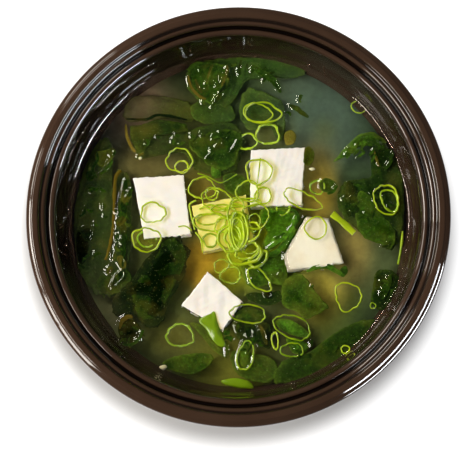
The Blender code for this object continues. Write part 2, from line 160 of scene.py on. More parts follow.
@dataclass(frozen=True)
class Unevenness:
    """Seeded smooth unevenness over a plane: sine waves summed in many directions."""

    seed: int
    shortest: float
    longest: float
    waves: int = 14

    def at(self, x: Array, y: Array) -> Array:
        """Sum of sin(k . (x, y) + phase) over all waves, scaled to about -1 to 1.

        Args:
            x: x of the points, of any shape.
            y: y of the points, of the same shape.

        Returns:
            The unevenness, in the same shape.
        """
        draw = np.random.default_rng(self.seed)
        number = TURN / draw.uniform(self.shortest, self.longest, self.waves)
        heading = draw.uniform(0.0, TURN, self.waves)
        phase = draw.uniform(0.0, TURN, self.waves)
        across = (np.asarray(x)[..., None] * np.cos(heading)
                  + np.asarray(y)[..., None] * np.sin(heading))
        return np.sin(across * number + phase).sum(-1) / math.sqrt(1.3 * self.waves)


@dataclass
class Skin:
    """A closed surface: points in millimetres, faces, and its form layer.

    The form layer holds three numbers a point: how near an edge it is, how aged and
    brown the piece is, and the piece's own tone. On the bowl the first number is instead
    its share of painted shade.
    """

    points: Array
    faces: list[Array]
    form: Array

    @classmethod
    def tube(cls, rows: Array, form: Array | None = None,
             start: Array | None = None, end: Array | None = None) -> "Skin":
        """Rows of points round a tube, closed at both ends by a pole.

        Args:
            rows: array (rows, columns, 3); the columns go round and join.
            form: array (rows, columns, 3) of the form layer.
            start: the first pole; the first row's middle if left out.
            end: the last pole; the last row's middle if left out.

        Returns:
            The closed skin, its faces pointing outwards.
        """
        count, columns = rows.shape[:2]
        form = np.zeros_like(rows) if form is None else form
        start = rows[0].mean(0) if start is None else start
        end = rows[-1].mean(0) if end is None else end
        points = np.vstack([rows.reshape(-1, 3), start[None], end[None]])
        forms = np.vstack([form.reshape(-1, 3), form[0].mean(0)[None],
                           form[-1].mean(0)[None]])
        quads = grid_faces(count, columns)
        pole = np.full(columns, count * columns)
        caps = [np.stack([pole, *quads[0, :, [0, 3]]], -1),
                np.stack([pole + 1, *quads[-1, :, [3, 0]]], -1)]
        faces = [quads[:-1].reshape(-1, 4), np.vstack(caps)]
        return cls(points, faces, forms).outward()

    @classmethod
    def loop(cls, rows: Array, form: Array | None = None) -> "Skin":
        """Rows of points round a closed loop, like a torus.

        Args:
            rows: array (rows, columns, 3); rows and columns both join up.
            form: array (rows, columns, 3) of the form layer.

        Returns:
            The closed skin, its faces pointing outwards.
        """
        count, columns = rows.shape[:2]
        form = np.zeros_like(rows) if form is None else form
        quads = grid_faces(count, columns).reshape(-1, 4)
        return cls(rows.reshape(-1, 3), [quads], form.reshape(-1, 3)).outward()

    @classmethod
    def turned(cls, profile: Array, steps: int) -> "Skin":
        """A profile of (radius, height) spun round Z: x = r cos a, y = r sin a.

        Args:
            profile: points whose first and last lie on the axis; a third number, if
            given, goes into the form layer as painted shade.
            steps: facets round the axis.

        Returns:
            The closed skin.
        """
        angle = TURN * np.arange(steps) / steps
        radius, height = profile[1:-1, 0, None], profile[1:-1, 1, None]
        rows = np.stack([radius * np.cos(angle), radius * np.sin(angle),
                         np.broadcast_to(height, (len(radius), steps))], -1)
        form = np.zeros_like(rows)
        if profile.shape[1] > 2:
            form[..., 0] = profile[1:-1, 2, None]
        start, end = ([0.0, 0.0, profile[row, 1]] for row in (0, -1))
        return cls.tube(rows, form, np.array(start), np.array(end))

    @classmethod
    def joined(cls, skins: list["Skin"]) -> "Skin":
        """Several skins as one, each keeping its own points."""
        starts = np.cumsum([0] + [len(skin.points) for skin in skins[:-1]])
        faces = [part + start for skin, start in zip(skins, starts)
                 for part in skin.faces]
        return cls(np.vstack([skin.points for skin in skins]), faces,
                   np.vstack([skin.form for skin in skins]))

    def volume(self) -> float:
        """Enclosed volume: a sixth of the sum of p0 . (p1 x p2) over all triangles."""
        total = 0.0
        for part in self.faces:
            for second in range(1, part.shape[1] - 1):
                corners = self.points[part[:, [0, second, second + 1]]]
                cross = np.cross(corners[:, 1], corners[:, 2])
                total += float((corners[:, 0] * cross).sum()) / 6.0
        return total

    def outward(self) -> "Skin":
        """The same skin with its faces turned to point outwards."""
        if self.volume() < 0.0:
            self.faces = [part[:, ::-1] for part in self.faces]
        return self

    def mesh(self, name: str) -> bpy.types.Mesh:
        """Write the points, faces and layers into a new mesh.

        Args:
            name: the mesh's name.

        Returns:
            The mesh, in metres and shaded smooth.
        """
        made = bpy.data.meshes.new(name)
        made.vertices.add(len(self.points))
        made.vertices.foreach_set("co", (self.points * MM).astype(np.float32).ravel())
        corners = np.concatenate([part.ravel() for part in self.faces])
        sizes = np.repeat([part.shape[1] for part in self.faces],
                          [len(part) for part in self.faces])
        made.loops.add(len(corners))
        made.loops.foreach_set("vertex_index", corners.astype(np.int32))
        made.polygons.add(len(sizes))
        starts = np.concatenate([[0], np.cumsum(sizes)[:-1]]).astype(np.int32)
        made.polygons.foreach_set("loop_start", starts)
        made.update(calc_edges=True)
        made.validate()
        made.shade_smooth()
        self._layer(made, Layer.BROTH, BROTH_COLOUR.at(self.points))
        self._layer(made, Layer.FORM, self.form)
        return made

    @staticmethod
    def _layer(made: bpy.types.Mesh, layer: Layer, values: Array) -> None:
        """Store three numbers a point as a colour layer."""
        store = made.color_attributes.new(layer.value, "FLOAT_COLOR", "POINT")
        four = np.ones((len(values), 4), dtype=np.float32)
        four[:, :3] = values
        store.data.foreach_set("color", four.ravel())


# ---- the broth's colours


@dataclass(frozen=True)
class Pool:
    """A patch of the broth with its own colour: its middle and its reach each way."""

    x: float
    y: float
    reach_x: float
    reach_y: float
    colour: Colour
    weight: float = 1.0


# Pools of colour in the broth. Those at the left and upper left are painted lighter, to
# stand for light that the cloudy broth carries into the shade of the rim.
POOLS = (
    Pool(30, 31, 15, 13, (0.042, 0.07, 0.052), 1.2),
    Pool(25, 27, 3, 3, (0.055, 0.068, 0.014)),
    Pool(-29, 37, 8, 7, (0.27, 0.175, 0.1)),
    Pool(-18, 41, 6, 4, (0.02, 0.03, 0.01), 3),
    Pool(-39, 30, 6, 9, (0.028, 0.024, 0.022)),
    Pool(-17, 33, 6, 5, (0.026, 0.03, 0.006), 2),
    Pool(38, 28, 4, 5, (0.014, 0.03, 0.008)),
    Pool(8, 47, 7, 2.5, (0.06, 0.13, 0.03)),
    Pool(1, 36, 7, 9, (0.026, 0.046, 0.016)),
    Pool(9, 26, 5, 4, (0.075, 0.085, 0.022)),
    Pool(-28, 17, 7, 4.5, (0.085, 0.07, 0.02)),
    Pool(-43, 2, 6, 16, (0.062, 0.076, 0.026)),
    Pool(-40, -24, 6, 8, (0.15, 0.15, 0.06)),
    Pool(37, -11, 8, 9, (0.05, 0.072, 0.028)),
    Pool(34, 12, 7, 7, (0.02, 0.04, 0.014)),
    Pool(31, -29, 8, 7, (0.036, 0.06, 0.012)),
    Pool(38, -30, 5, 6, (0.02, 0.036, 0.022)),
    Pool(-24, -22, 8, 8, (0.03, 0.036, 0.008), 0.8),
    Pool(-20, -33, 6, 3.5, (0.072, 0.07, 0.012)),
    Pool(-4, -41, 7, 6, (0.11, 0.112, 0.012)),
    Pool(24, -21, 5, 6, (0.33, 0.275, 0.035)),
    Pool(23, 12, 4, 8, (0.25, 0.175, 0.016)),
    Pool(33, -9, 4, 6, (0.34, 0.25, 0.06)),
    Pool(1, -5, 5, 8, (0.32, 0.38, 0.006), 1.2),
    Pool(-12, 8, 4, 5, (0.13, 0.1, 0.013)),
    Pool(-10, -12.5, 4.5, 4.5, (0.21, 0.125, 0.008), 1.6),
    Pool(-5, -16, 3.5, 3.5, (0.21, 0.2, 0.003)),
    Pool(10, -12, 6, 5, (0.07, 0.12, 0.001)),
    Pool(8, -1, 5, 5, (0.22, 0.29, 0.003)),
    Pool(13, -3, 3, 4, (0.17, 0.23, 0.004)),
)


@dataclass(frozen=True)
class BrothColour:
    """The colour of the cloudy broth from place to place.

    Each pool counts by weight * exp(-(dx / reach_x)^2 - (dy / reach_y)^2), the base by
    its own weight, and the colour is their weighted mean, with painted shade darkening
    it close to the wall.
    """

    base: Colour = (0.052, 0.062, 0.018)
    base_weight: float = 0.16
    pools: tuple[Pool, ...] = POOLS
    wall: float = 47.0
    wall_depth: float = 5.0
    painted_wall_shade: float = 0.45

    def at(self, points: Array) -> Array:
        """The colour over each point.

        Args:
            points: array (n, 3) in millimetres.

        Returns:
            Array (n, 3) of linear colours.
        """
        x, y = points[:, 0], points[:, 1]
        total = np.full(len(points), self.base_weight)
        colour = self.base_weight * np.array(self.base)[None, :].repeat(len(points), 0)
        for pool in self.pools:
            u, v = (x - pool.x) / pool.reach_x, (y - pool.y) / pool.reach_y
            weight = pool.weight * np.exp(-(u**2 + v**2))
            total += weight
            colour += weight[:, None] * np.array(pool.colour)
        # painted shade: the broth darkens towards the wall
        near = np.clip((np.hypot(x, y) - self.wall) / self.wall_depth + 0.5, 0.0, 1.0)
        return colour / total[:, None] * (1.0 - self.painted_wall_shade * near)[:, None]


BROTH_COLOUR = BrothColour()


# ---- finishes

Socket = bpy.types.NodeSocket
Node = bpy.types.Node
COLOUR = "NodeSocketColor"
NUMBER = "NodeSocketFloat"


class Wiring:
    """Short forms for placing and joining the nodes of one tree."""

    def __init__(self, tree: bpy.types.NodeTree) -> None:
        """Keep the tree that the nodes go into."""
        self.tree = tree

    def fill(self, node: Node, inputs: dict) -> Node:
        """Give a node's inputs their values; a colour gets full alpha.

        Args:
            node: the node.
            inputs: socket name or number to a value, or to the socket it is joined to.

        Returns:
            The same node.
        """
        for key, value in inputs.items():
            socket = node.inputs[key]
            if isinstance(value, Socket):
                self.tree.links.new(value, socket)
            else:
                socket.default_value = (*value, 1.0) if socket.type == "RGBA" else value
        return node

    def node(self, kind: str, inputs: dict | None = None, **settings: object) -> Node:
        """Place a shader node.

        Args:
            kind: the end of its type's name.
            inputs: what its inputs are filled with.
            settings: its own properties.

        Returns:
            The new node.
        """
        made = self.tree.nodes.new("ShaderNode" + kind)
        for key, value in settings.items():
            setattr(made, key, value)
        return self.fill(made, inputs or {})

    def place(self) -> Socket:
        """Object coordinates."""
        return self.node("TexCoord").outputs["Object"]

    def sums(self, operation: str, first: object, second: object = 0.0,
             third: object = 0.0, clamp: bool = False) -> Socket:
        """A Math node's result."""
        return self.node("Math", {0: first, 1: second, 2: third}, operation=operation,
                         use_clamp=clamp).outputs[0]

    def blend(self, share: object, first: object, second: object, clamp: bool = True,
              way: str = "MIX") -> Socket:
        """A Mix node's colour, from the first at share 0 to the second at share 1."""
        return self.node("Mix", {0: share, 6: first, 7: second}, data_type="RGBA",
                         clamp_factor=clamp, blend_type=way).outputs[2]

    def span(self, value: object, low: float, high: float, to_low: float = 0.0,
             to_high: float = 1.0, kind: str = "LINEAR") -> Socket:
        """A Map Range node's result, clamped."""
        return self.node("MapRange", {0: value, 1: low, 2: high, 3: to_low, 4: to_high},
                         clamp=True, interpolation_type=kind).outputs[0]

    def grey(self, value: Socket) -> Socket:
        """The same number in all three channels."""
        return self.node("CombineXYZ", {0: value, 1: value, 2: value}).outputs[0]

    def layer(self, layer: Layer) -> Socket:
        """A mesh's colour layer."""
        return self.node("VertexColor", layer_name=layer.value).outputs[0]

    def form(self) -> tuple[Socket, ...]:
        """The form layer's numbers: edge, age and tone; on the bowl, painted shade first.
        """
        return tuple(self.node("SeparateColor", {0: self.layer(Layer.FORM)}).outputs)

    def mottle(self, coarse: float, fine: float) -> tuple[Socket, ...]:
        """The mottle group's coarse mask, fine mask and height."""
        return tuple(self.node("Group", {"Coarse": coarse, "Fine": fine},
                               node_tree=MOTTLE).outputs)

    def bump(self, height: Socket, strength: float, distance: float) -> Socket:
        """A normal on which a height stands in relief."""
        return self.node("Bump", {"Height": height, "Strength": strength,
                                  "Distance": distance}).outputs[0]

    def open_shadows(self, shader: Node, share: float, colour: Colour) -> None:
        """Let a share of the light through the shader for shadow rays only.

        Args:
            shader: what all other rays see.
            share: the share that passes.
            colour: what it is tinted with.
        """
        shadow = self.node("LightPath").outputs["Is Shadow Ray"]
        through = self.node("BsdfTransparent", {0: colour})
        both = self.node("MixShader", {0: self.sums("MULTIPLY", shadow, share),
                                       1: shader.outputs[0], 2: through.outputs[0]})
        self.fill(self.tree.nodes["Material Output"], {"Surface": both.outputs[0]})


def new_group(name: str, inputs: dict[str, str], outputs: dict[str, str]
              ) -> tuple[Wiring, bpy.types.NodeOutputs, Node]:
    """Start a shader node group with named sockets.

    Args:
        name: the group's name.
        inputs: input names and their socket types.
        outputs: output names and their socket types.

    Returns:
        The group's wiring, what it is given, and its output node.
    """
    tree = bpy.data.node_groups.new(name, "ShaderNodeTree")
    for way, sockets in (("INPUT", inputs), ("OUTPUT", outputs)):
        for title, kind in sockets.items():
            tree.interface.new_socket(title, in_out=way, socket_type=kind)
    given = tree.nodes.new("NodeGroupInput").outputs
    return Wiring(tree), given, tree.nodes.new("NodeGroupOutput")


def depth_fade_group() -> bpy.types.NodeTree:
    """What lies under the surface fades into the broth.

    The share of the broth's colour is 1 - exp(-density * depth), with the depth under
    Level along Z.
    """
    wiring, given, out = new_group(
        "broth_depth_fade",
        {"Own": COLOUR, "Broth": COLOUR, "Density": NUMBER, "Level": NUMBER},
        {"Colour": COLOUR})
    height = wiring.node("SeparateXYZ", {0: wiring.place()}).outputs[2]
    depth = wiring.sums("MAXIMUM", wiring.sums("SUBTRACT", given["Level"], height))
    power = wiring.sums("MULTIPLY", depth, given["Density"])
    left = wiring.sums("EXPONENT", wiring.sums("MULTIPLY", power, -1.0))
    wiring.fill(out, {"Colour": wiring.blend(left, given["Broth"], given["Own"])})
    return wiring.tree


def mottle_group() -> bpy.types.NodeTree:
    """Coarse and fine unevenness, in waves a metre, as masks, and their mean."""
    masks = {"Coarse": NUMBER, "Fine": NUMBER}
    wiring, given, out = new_group("mottle", masks, {**masks, "Height": NUMBER})
    place = wiring.place()
    for title, detail in (("Coarse", 4.0), ("Fine", 2.0)):
        noise = wiring.node("TexNoise", {"Vector": place, "Detail": detail,
                                         "Scale": given[title]}).outputs[0]
        masks[title] = wiring.span(noise, 0.3, 0.7)
    both = wiring.sums("ADD", masks["Coarse"], masks["Fine"])
    wiring.fill(out, {**masks, "Height": wiring.sums("MULTIPLY", both, 0.5)})
    return wiring.tree


DEPTH_FADE = depth_fade_group()
MOTTLE = mottle_group()


@dataclass(frozen=True)
class Finish:
    """What every finish shares: its name and the broth's density over it.

    grain is the mottle's coarse and fine waves a metre, relief the strength and height
    of the bump.
    """

    name: str
    density: float = 200.0
    grain: Pair = (100.0, 1000.0)
    relief: Pair = (0.1, 0.0001)
    roughness: float = 0.5

    def material(self) -> bpy.types.Material:
        """Make the material and let the finish dress its shader."""
        made = bpy.data.materials.new(self.name)
        made.use_nodes = True
        self.dress(Wiring(made.node_tree), made.node_tree.nodes["Principled BSDF"])
        return made

    def dress(self, wiring: Wiring, shader: Node) -> None:
        """Fill the shader; each finish has its own way.

        Args:
            wiring: places and joins the material's nodes.
            shader: the material's Principled shader.
        """
        raise NotImplementedError

    def sunk(self, wiring: Wiring, own: Socket) -> Socket:
        """The own colour faded by the depth of the broth over it."""
        inputs = {"Own": own, "Broth": wiring.layer(Layer.BROTH),
                  "Density": self.density, "Level": LEVEL * MM}
        return wiring.node("Group", inputs, node_tree=DEPTH_FADE).outputs[0]


@dataclass(frozen=True)
class PlasticFinish(Finish):
    """Glossy dark brown moulded plastic; painted shade makes it almost black in its
    grooves.
    """

    dark: Colour = (0.046, 0.025, 0.015)
    light: Colour = (0.060, 0.034, 0.021)
    # deep is the colour of the painted shade in the grooves and on the inner wall
    deep: Colour = (0.0030, 0.0014, 0.0008)
    grain: Pair = (60.0, 500.0)
    relief: Pair = (0.05, 0.0003)
    ior: float = 1.53
    smoothest: float = 0.04
    roughest: float = 0.09

    def dress(self, wiring: Wiring, shader: Node) -> None:
        """Brown blended by soft mottle, then towards deep by the painted shade in the
        form layer; mottle sets the roughness too.
        """
        coarse, fine, _ = wiring.mottle(*self.grain)
        brown = wiring.blend(coarse, self.dark, self.light)
        # the form layer's first number is the share of painted shade
        wiring.fill(shader, {
            "Base Color": wiring.blend(wiring.form()[0], brown, self.deep),
            "Roughness": wiring.span(fine, 0.0, 1.0, self.smoothest, self.roughest),
            "IOR": self.ior, "Normal": wiring.bump(coarse, *self.relief)})


@dataclass(frozen=True)
class MurkFinish(Finish):
    """The cloudy body of the broth, clouds of fine paste under its clear top."""

    grain: Pair = (140.0, 800.0)
    roughness: float = 0.9
    faint: float = 0.80
    strong: float = 1.20

    def dress(self, wiring: Wiring, shader: Node) -> None:
        """The broth's own colours, blotched by mottle."""
        height = wiring.mottle(*self.grain)[2]
        shade = wiring.span(height, 0.0, 1.0, self.faint, self.strong)
        own = wiring.layer(Layer.BROTH)
        wiring.fill(shader, {
            "Base Color": wiring.blend(1.0, own, wiring.grey(shade), way="MULTIPLY"),
            "Roughness": self.roughness, "Specular IOR Level": 0.0})


@dataclass(frozen=True)
class ClearFinish(Finish):
    """Clear broth or a drop of it: light passes, shadows stay open."""

    tint: Colour = (1.0, 1.0, 1.0)
    ior: float = 1.42
    grain: Pair = (120.0, 500.0)
    relief: Pair = (0.02, 0.0001)
    roughness: float = 0.015

    def dress(self, wiring: Wiring, shader: Node) -> None:
        """Glass for what is seen, and see-through for shadow rays."""
        normal = wiring.bump(wiring.mottle(*self.grain)[2], *self.relief)
        wiring.fill(shader, {"Base Color": self.tint, "Roughness": self.roughness,
                             "IOR": self.ior, "Transmission Weight": 1.0,
                             "Normal": normal})
        wiring.open_shadows(shader, 1.0, self.tint)


@dataclass(frozen=True)
class CurdFinish(Finish):
    """Fresh tofu: moist white curd with fine pores and cream shades."""

    density: float = 35.0
    light: Colour = (0.97, 0.95, 0.90)
    cream: Colour = (0.95, 0.90, 0.76)
    juice_and_onion_light: Colour = (0.80, 0.72, 0.05)
    grain: Pair = (110.0, 1600.0)
    relief: Pair = (0.12, 0.0001)
    roughness: float = 0.38
    glow: float = 0.25
    glow_radius: Colour = (0.0012, 0.0009, 0.0005)

    def dress(self, wiring: Wiring, shader: Node) -> None:
        """White to cream by mottle, yellow by tone for onion juice and painted light
        through the onions, pores in relief.
        """
        coarse, fine, _ = wiring.mottle(*self.grain)
        share = wiring.span(coarse, 0.3, 1.0, 0.0, 0.6)
        own = wiring.blend(share, self.light, self.cream)
        juice_and_light_share = wiring.sums("MULTIPLY", wiring.form()[2],
                            wiring.span(coarse, 0.0, 1.0, 1.0, 0.6))
        own = wiring.blend(juice_and_light_share, own, self.juice_and_onion_light)
        wiring.fill(shader, {
            "Base Color": self.sunk(wiring, own), "Roughness": self.roughness,
            "Subsurface Weight": self.glow, "Subsurface Radius": self.glow_radius,
            "Normal": wiring.bump(fine, *self.relief)})


@dataclass(frozen=True)
class LeafFinish(Finish):
    """Soaked wakame: almost black green to olive, its thin edges lighter."""

    dark: Colour = (0.0010, 0.0035, 0.0006)
    green: Colour = (0.014, 0.040, 0.0020)
    edge: Colour = (0.060, 0.110, 0.006)
    olive: Colour = (0.100, 0.072, 0.008)
    speck: Colour = (0.12, 0.14, 0.05)
    grain: Pair = (200.0, 2300.0)
    wrinkles: Pair = (650.0, 1300.0)
    relief: Pair = (0.3, 0.0003)
    roughness: float = 0.4

    def dress(self, wiring: Wiring, shader: Node) -> None:
        """Dark to green by mottle and tone, light at edges, olive by age, then specks.

        Wrinkles and grain together make the share of green.
        """
        coarse, fine, _ = wiring.mottle(*self.grain)
        wrinkle, crease, height = wiring.mottle(*self.wrinkles)
        near_edge, age, own_tone = wiring.form()
        grain = wiring.sums("MULTIPLY", wrinkle, crease)
        patches = wiring.span(coarse, 0.0, 1.0, 0.30, 0.85)
        tone = wiring.sums("MULTIPLY_ADD", grain, 1.1, patches)
        tone = wiring.sums("MULTIPLY", tone, own_tone)
        body = wiring.blend(tone, self.dark, self.green, clamp=False)
        rim = wiring.sums("MULTIPLY", wiring.span(near_edge, 0.80, 1.0, 0.0, 0.55),
                          tone, clamp=True)
        body = wiring.blend(rim, body, self.edge)
        aged = wiring.sums("MULTIPLY_ADD", coarse, 0.5,
                           wiring.sums("SUBTRACT", age, 0.25))
        aged = wiring.sums("MULTIPLY", aged, 0.8, clamp=True)
        body = wiring.blend(aged, body, self.olive)
        body = wiring.blend(wiring.span(fine, 0.92, 1.0, 0.0, 0.5), body, self.speck)
        wiring.fill(shader, {
            "Base Color": self.sunk(wiring, body), "Roughness": self.roughness,
            "Specular IOR Level": 0.0, "Normal": wiring.bump(height, *self.relief)})


@dataclass(frozen=True)
class OnionFinish(Finish):
    """Spring onion: fresh yellow green bands, deeper green by mottle and tone."""

    density: float = 320.0
    bright: Colour = (0.56, 0.72, 0.008)
    deep: Colour = (0.17, 0.30, 0.004)
    through: Colour = (0.92, 0.90, 0.45)
    share_through: float = 0.8
    grain: Pair = (220.0, 1500.0)
    relief: Pair = (0.2, 0.0002)
    roughness: float = 0.22
    glow: float = 0.15
    glow_radius: Colour = (0.0006, 0.0008, 0.0002)

    def dress(self, wiring: Wiring, shader: Node) -> None:
        """Bright to deep green by mottle and tone; its shadow is light and yellow."""
        coarse, _, height = wiring.mottle(*self.grain)
        share = wiring.sums("MULTIPLY_ADD", coarse, 0.5, wiring.form()[2], clamp=True)
        own = wiring.blend(share, self.bright, self.deep)
        wiring.fill(shader, {
            "Base Color": self.sunk(wiring, own), "Roughness": self.roughness,
            "Subsurface Weight": self.glow, "Subsurface Radius": self.glow_radius,
            "Normal": wiring.bump(height, *self.relief)})
        wiring.open_shadows(shader, self.share_through, self.through)


@dataclass(frozen=True)
class FloorFinish(Finish):
    """A white light table that glows, with a painted shadow: its glow dimmed in a soft
    round under the bowl.
    """

    colour: Colour = (0.30, 0.30, 0.30)
    middle: Line = (-0.0024, 0.0044, 0.0)
    painted_shadow_within: float = 0.0628
    painted_shadow_until: float = 0.0716
    painted_shadow_glow: float = 0.19
    full: float = 1.05
    grain: Pair = (20.0, 400.0)
    roughness: float = 0.7
    fleck: float = 0.97

    def dress(self, wiring: Wiring, shader: Node) -> None:
        """White with a hardly visible mottle, its glow set by the distance outwards: the
        painted shadow.
        """
        nearly = tuple(self.fleck * part for part in self.colour)
        away = wiring.node("VectorMath", {0: wiring.place(), 1: self.middle},
                           operation="DISTANCE").outputs["Value"]
        # painted shadow: the glow falls from full to its dimmest within a round under the
        # bowl
        glow = wiring.span(away, self.painted_shadow_within, self.painted_shadow_until, self.painted_shadow_glow,
                           self.full, "SMOOTHSTEP")
        fine = wiring.mottle(*self.grain)[1]
        wiring.fill(shader, {"Base Color": wiring.blend(fine, self.colour, nearly),
                             "Roughness": self.roughness, "Emission Strength": 1.0,
                             "Emission Color": wiring.grey(glow)})


def box_of(node: str) -> tuple[Array, Array]:
    """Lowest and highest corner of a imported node, in millimetres."""
    low, high = np.array(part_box(node)) / MM
    return low, high


def set_down(name: str, skin: Skin, finish: bpy.types.Material,
             stands_for: tuple[str, ...] = ()) -> bpy.types.Object:
    """Turn a skin into a piece of the object.

    Args:
        name: the piece's name.
        skin: its surface.
        finish: its material.
        stands_for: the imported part's nodes that it replaces.

    Returns:
        The piece, riding on the one body.
    """
    mesh = skin.mesh(name)
    mesh.materials.append(finish)
    piece = bpy.data.objects.new(name, mesh)
    bpy.context.scene.collection.objects.link(piece)
    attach(piece, "root")
    if stands_for:
        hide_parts(*stands_for)
    log.info("%s: %d points, stands for %s", name, len(skin.points),
             ", ".join(stands_for) or "nothing in the part")
    return piece


# ---- bowl


@dataclass(frozen=True)
class Bowl:
    """The turned bowl: a ridged rim, plain wall, floor and foot ring."""

    steps: int = 320
    wall: float = 1.2
    bead: float = 2.0
    shoulder: float = 55.3
    groove: float = 53.9
    groove_height: float = 59.7
    ridge: float = 52.0
    ridge_height: float = 61.2
    step: float = 50.2
    step_height: float = 52.5
    soup_edge: float = 49.3
    floor_radius: float = 33.0
    floor_height: float = 4.0
    corner: float = 6.0
    middle_height: float = 28.0
    # crease: the share of painted shade over the inner floor and wall up to the soup
    crease: float = 0.4
    foot_radius: float = 32.6
    foot_height: float = 2.0

    def wall_radius(self, height: float) -> float:
        """Inner radius of the plain wall, which leans evenly from the floor up."""
        low = self.floor_height + self.corner
        lean = (self.soup_edge - self.floor_radius - 2.2) / (LEVEL - low)
        return self.soup_edge - lean * (LEVEL - height)

    def inside(self, inset: float, top: float) -> Array:
        """The hollow's profile from its middle outwards and up.

        Args:
            inset: how far it lies inside the wall.
            top: the height at which it ends.

        Returns:
            Points (radius, height) from the axis to the wall at the top.
        """
        low = self.floor_height + self.corner
        mid = self.middle_height
        start = self.wall_radius(low) - inset
        bottom = self.floor_height + inset
        return np.array([(0.0, bottom), (start - 7.0, bottom), (start - 2.2, low - 3.8),
                         (start, low), (self.wall_radius(mid) - inset, mid),
                         (self.wall_radius(top) - inset, top)])

    def profile(self) -> Array:
        """The whole profile, from the inner floor over the rim to the underside.

        It goes on from the hollow by groups of points: a line of the bowl by its radius
        and height, and each point's way outwards, way up and crease from there; the
        crease is its share of painted shade, darkest in the grooves.
        """
        inner = self.inside(0.0, LEVEL)
        inner = np.column_stack([inner, np.full(len(inner), self.crease)])
        low, wall = self.floor_height + self.corner, self.wall
        crest, ridge, mid = RIM - self.bead, self.ridge_height, self.middle_height
        # the third number of each point is its crease: its share of painted shade
        groups = (
            (self.step, self.step_height,
             ((-0.5, -1, 0.4), (0, 0, 0.6), (0.5, 1.4, 0.4))),
            (self.ridge, ridge, (
                (-0.7, -4, 0.6), (-0.25, -2.1, 0.9), (0.05, -1.45, 0.5),
                (0.5, -1.1, 0), (0.9, -0.96, 0), (1.4, -0.98, 0.3),
                (1.65, -1.25, 1))),
            (self.groove, self.groove_height, ((0, 0, 1), (0.4, 0, 1))),
            (self.shoulder, ridge, (
                (-0.9, -0.9, 1), (-0.6, -0.3, 0.3), (-0.25, -0.08, 0),
                (0.1, 0.02, 0), (0.35, -0.05, 0.6), (0.6, -0.03, 0.9),
                (0.95, 0.2, 0.8), (1.2, 0.6, 0.4))),
            (self.shoulder, HEIGHT, ((1.5, -0.03, 0), (2, 0, 0))),
            (crest, HEIGHT, (
                (-0.1, 0, 0), (0.2, -0.02, 0), (0.6, -0.29, 0),
                (0.8, -0.34, 0.1), (1.4, -0.61, 0), (1.75, -0.82, 0))),
            (RIM, HEIGHT, (
                (-0.05, -1.15, 0.2), (0, -1.6, 0.3), (-0.15, -3.3, 0),
                (-0.45, -3.5, 0), (-1, -3.4, 0), (-1.6, -1.6, 0))),
            (self.shoulder, HEIGHT, ((1.4, -1.8, 0),)),
            (self.shoulder, self.groove_height, ((-0.2, -1.2, 0),)),
            (self.ridge, self.groove_height, ((1, -1.3, 0),)),
            (self.step + wall, self.step_height, ((0, 0, 0), (-0.9, -0.9, 0))),
            (self.soup_edge + wall, LEVEL, ((-0.5, 0, 0),)),
            (self.wall_radius(mid) + wall, mid, ((-0.2, 0, 0),)),
            (self.wall_radius(low) + wall, low, ((0.1, 0, 0), (-1.2, -4, 0))),
            (self.foot_radius, 0, (
                (2, 2.8, 0), (0.5, 1.8, 0), (0.4, 0.3, 0), (0.1, 0, 0),
                (-1.7, 0, 0), (-2, 0.3, 0), (-2.5, 1.8, 0),
                (-3, self.foot_height, 0))),
            (0, self.foot_height, ((0, 0, 0),)),
        )
        rows = [(radius + out, height + up, crease)
                for radius, height, points in groups for out, up, crease in points]
        return rounded(np.vstack([inner, rows]), 2)

    def build(self) -> None:
        """Turn the profile and set the shell down in place of the part's bowl."""
        finish = PlasticFinish("dark_brown_plastic").material()
        set_down("bowl_shell", Skin.turned(self.profile(), self.steps), finish,
                 ("bowl",))


# ---- toppings


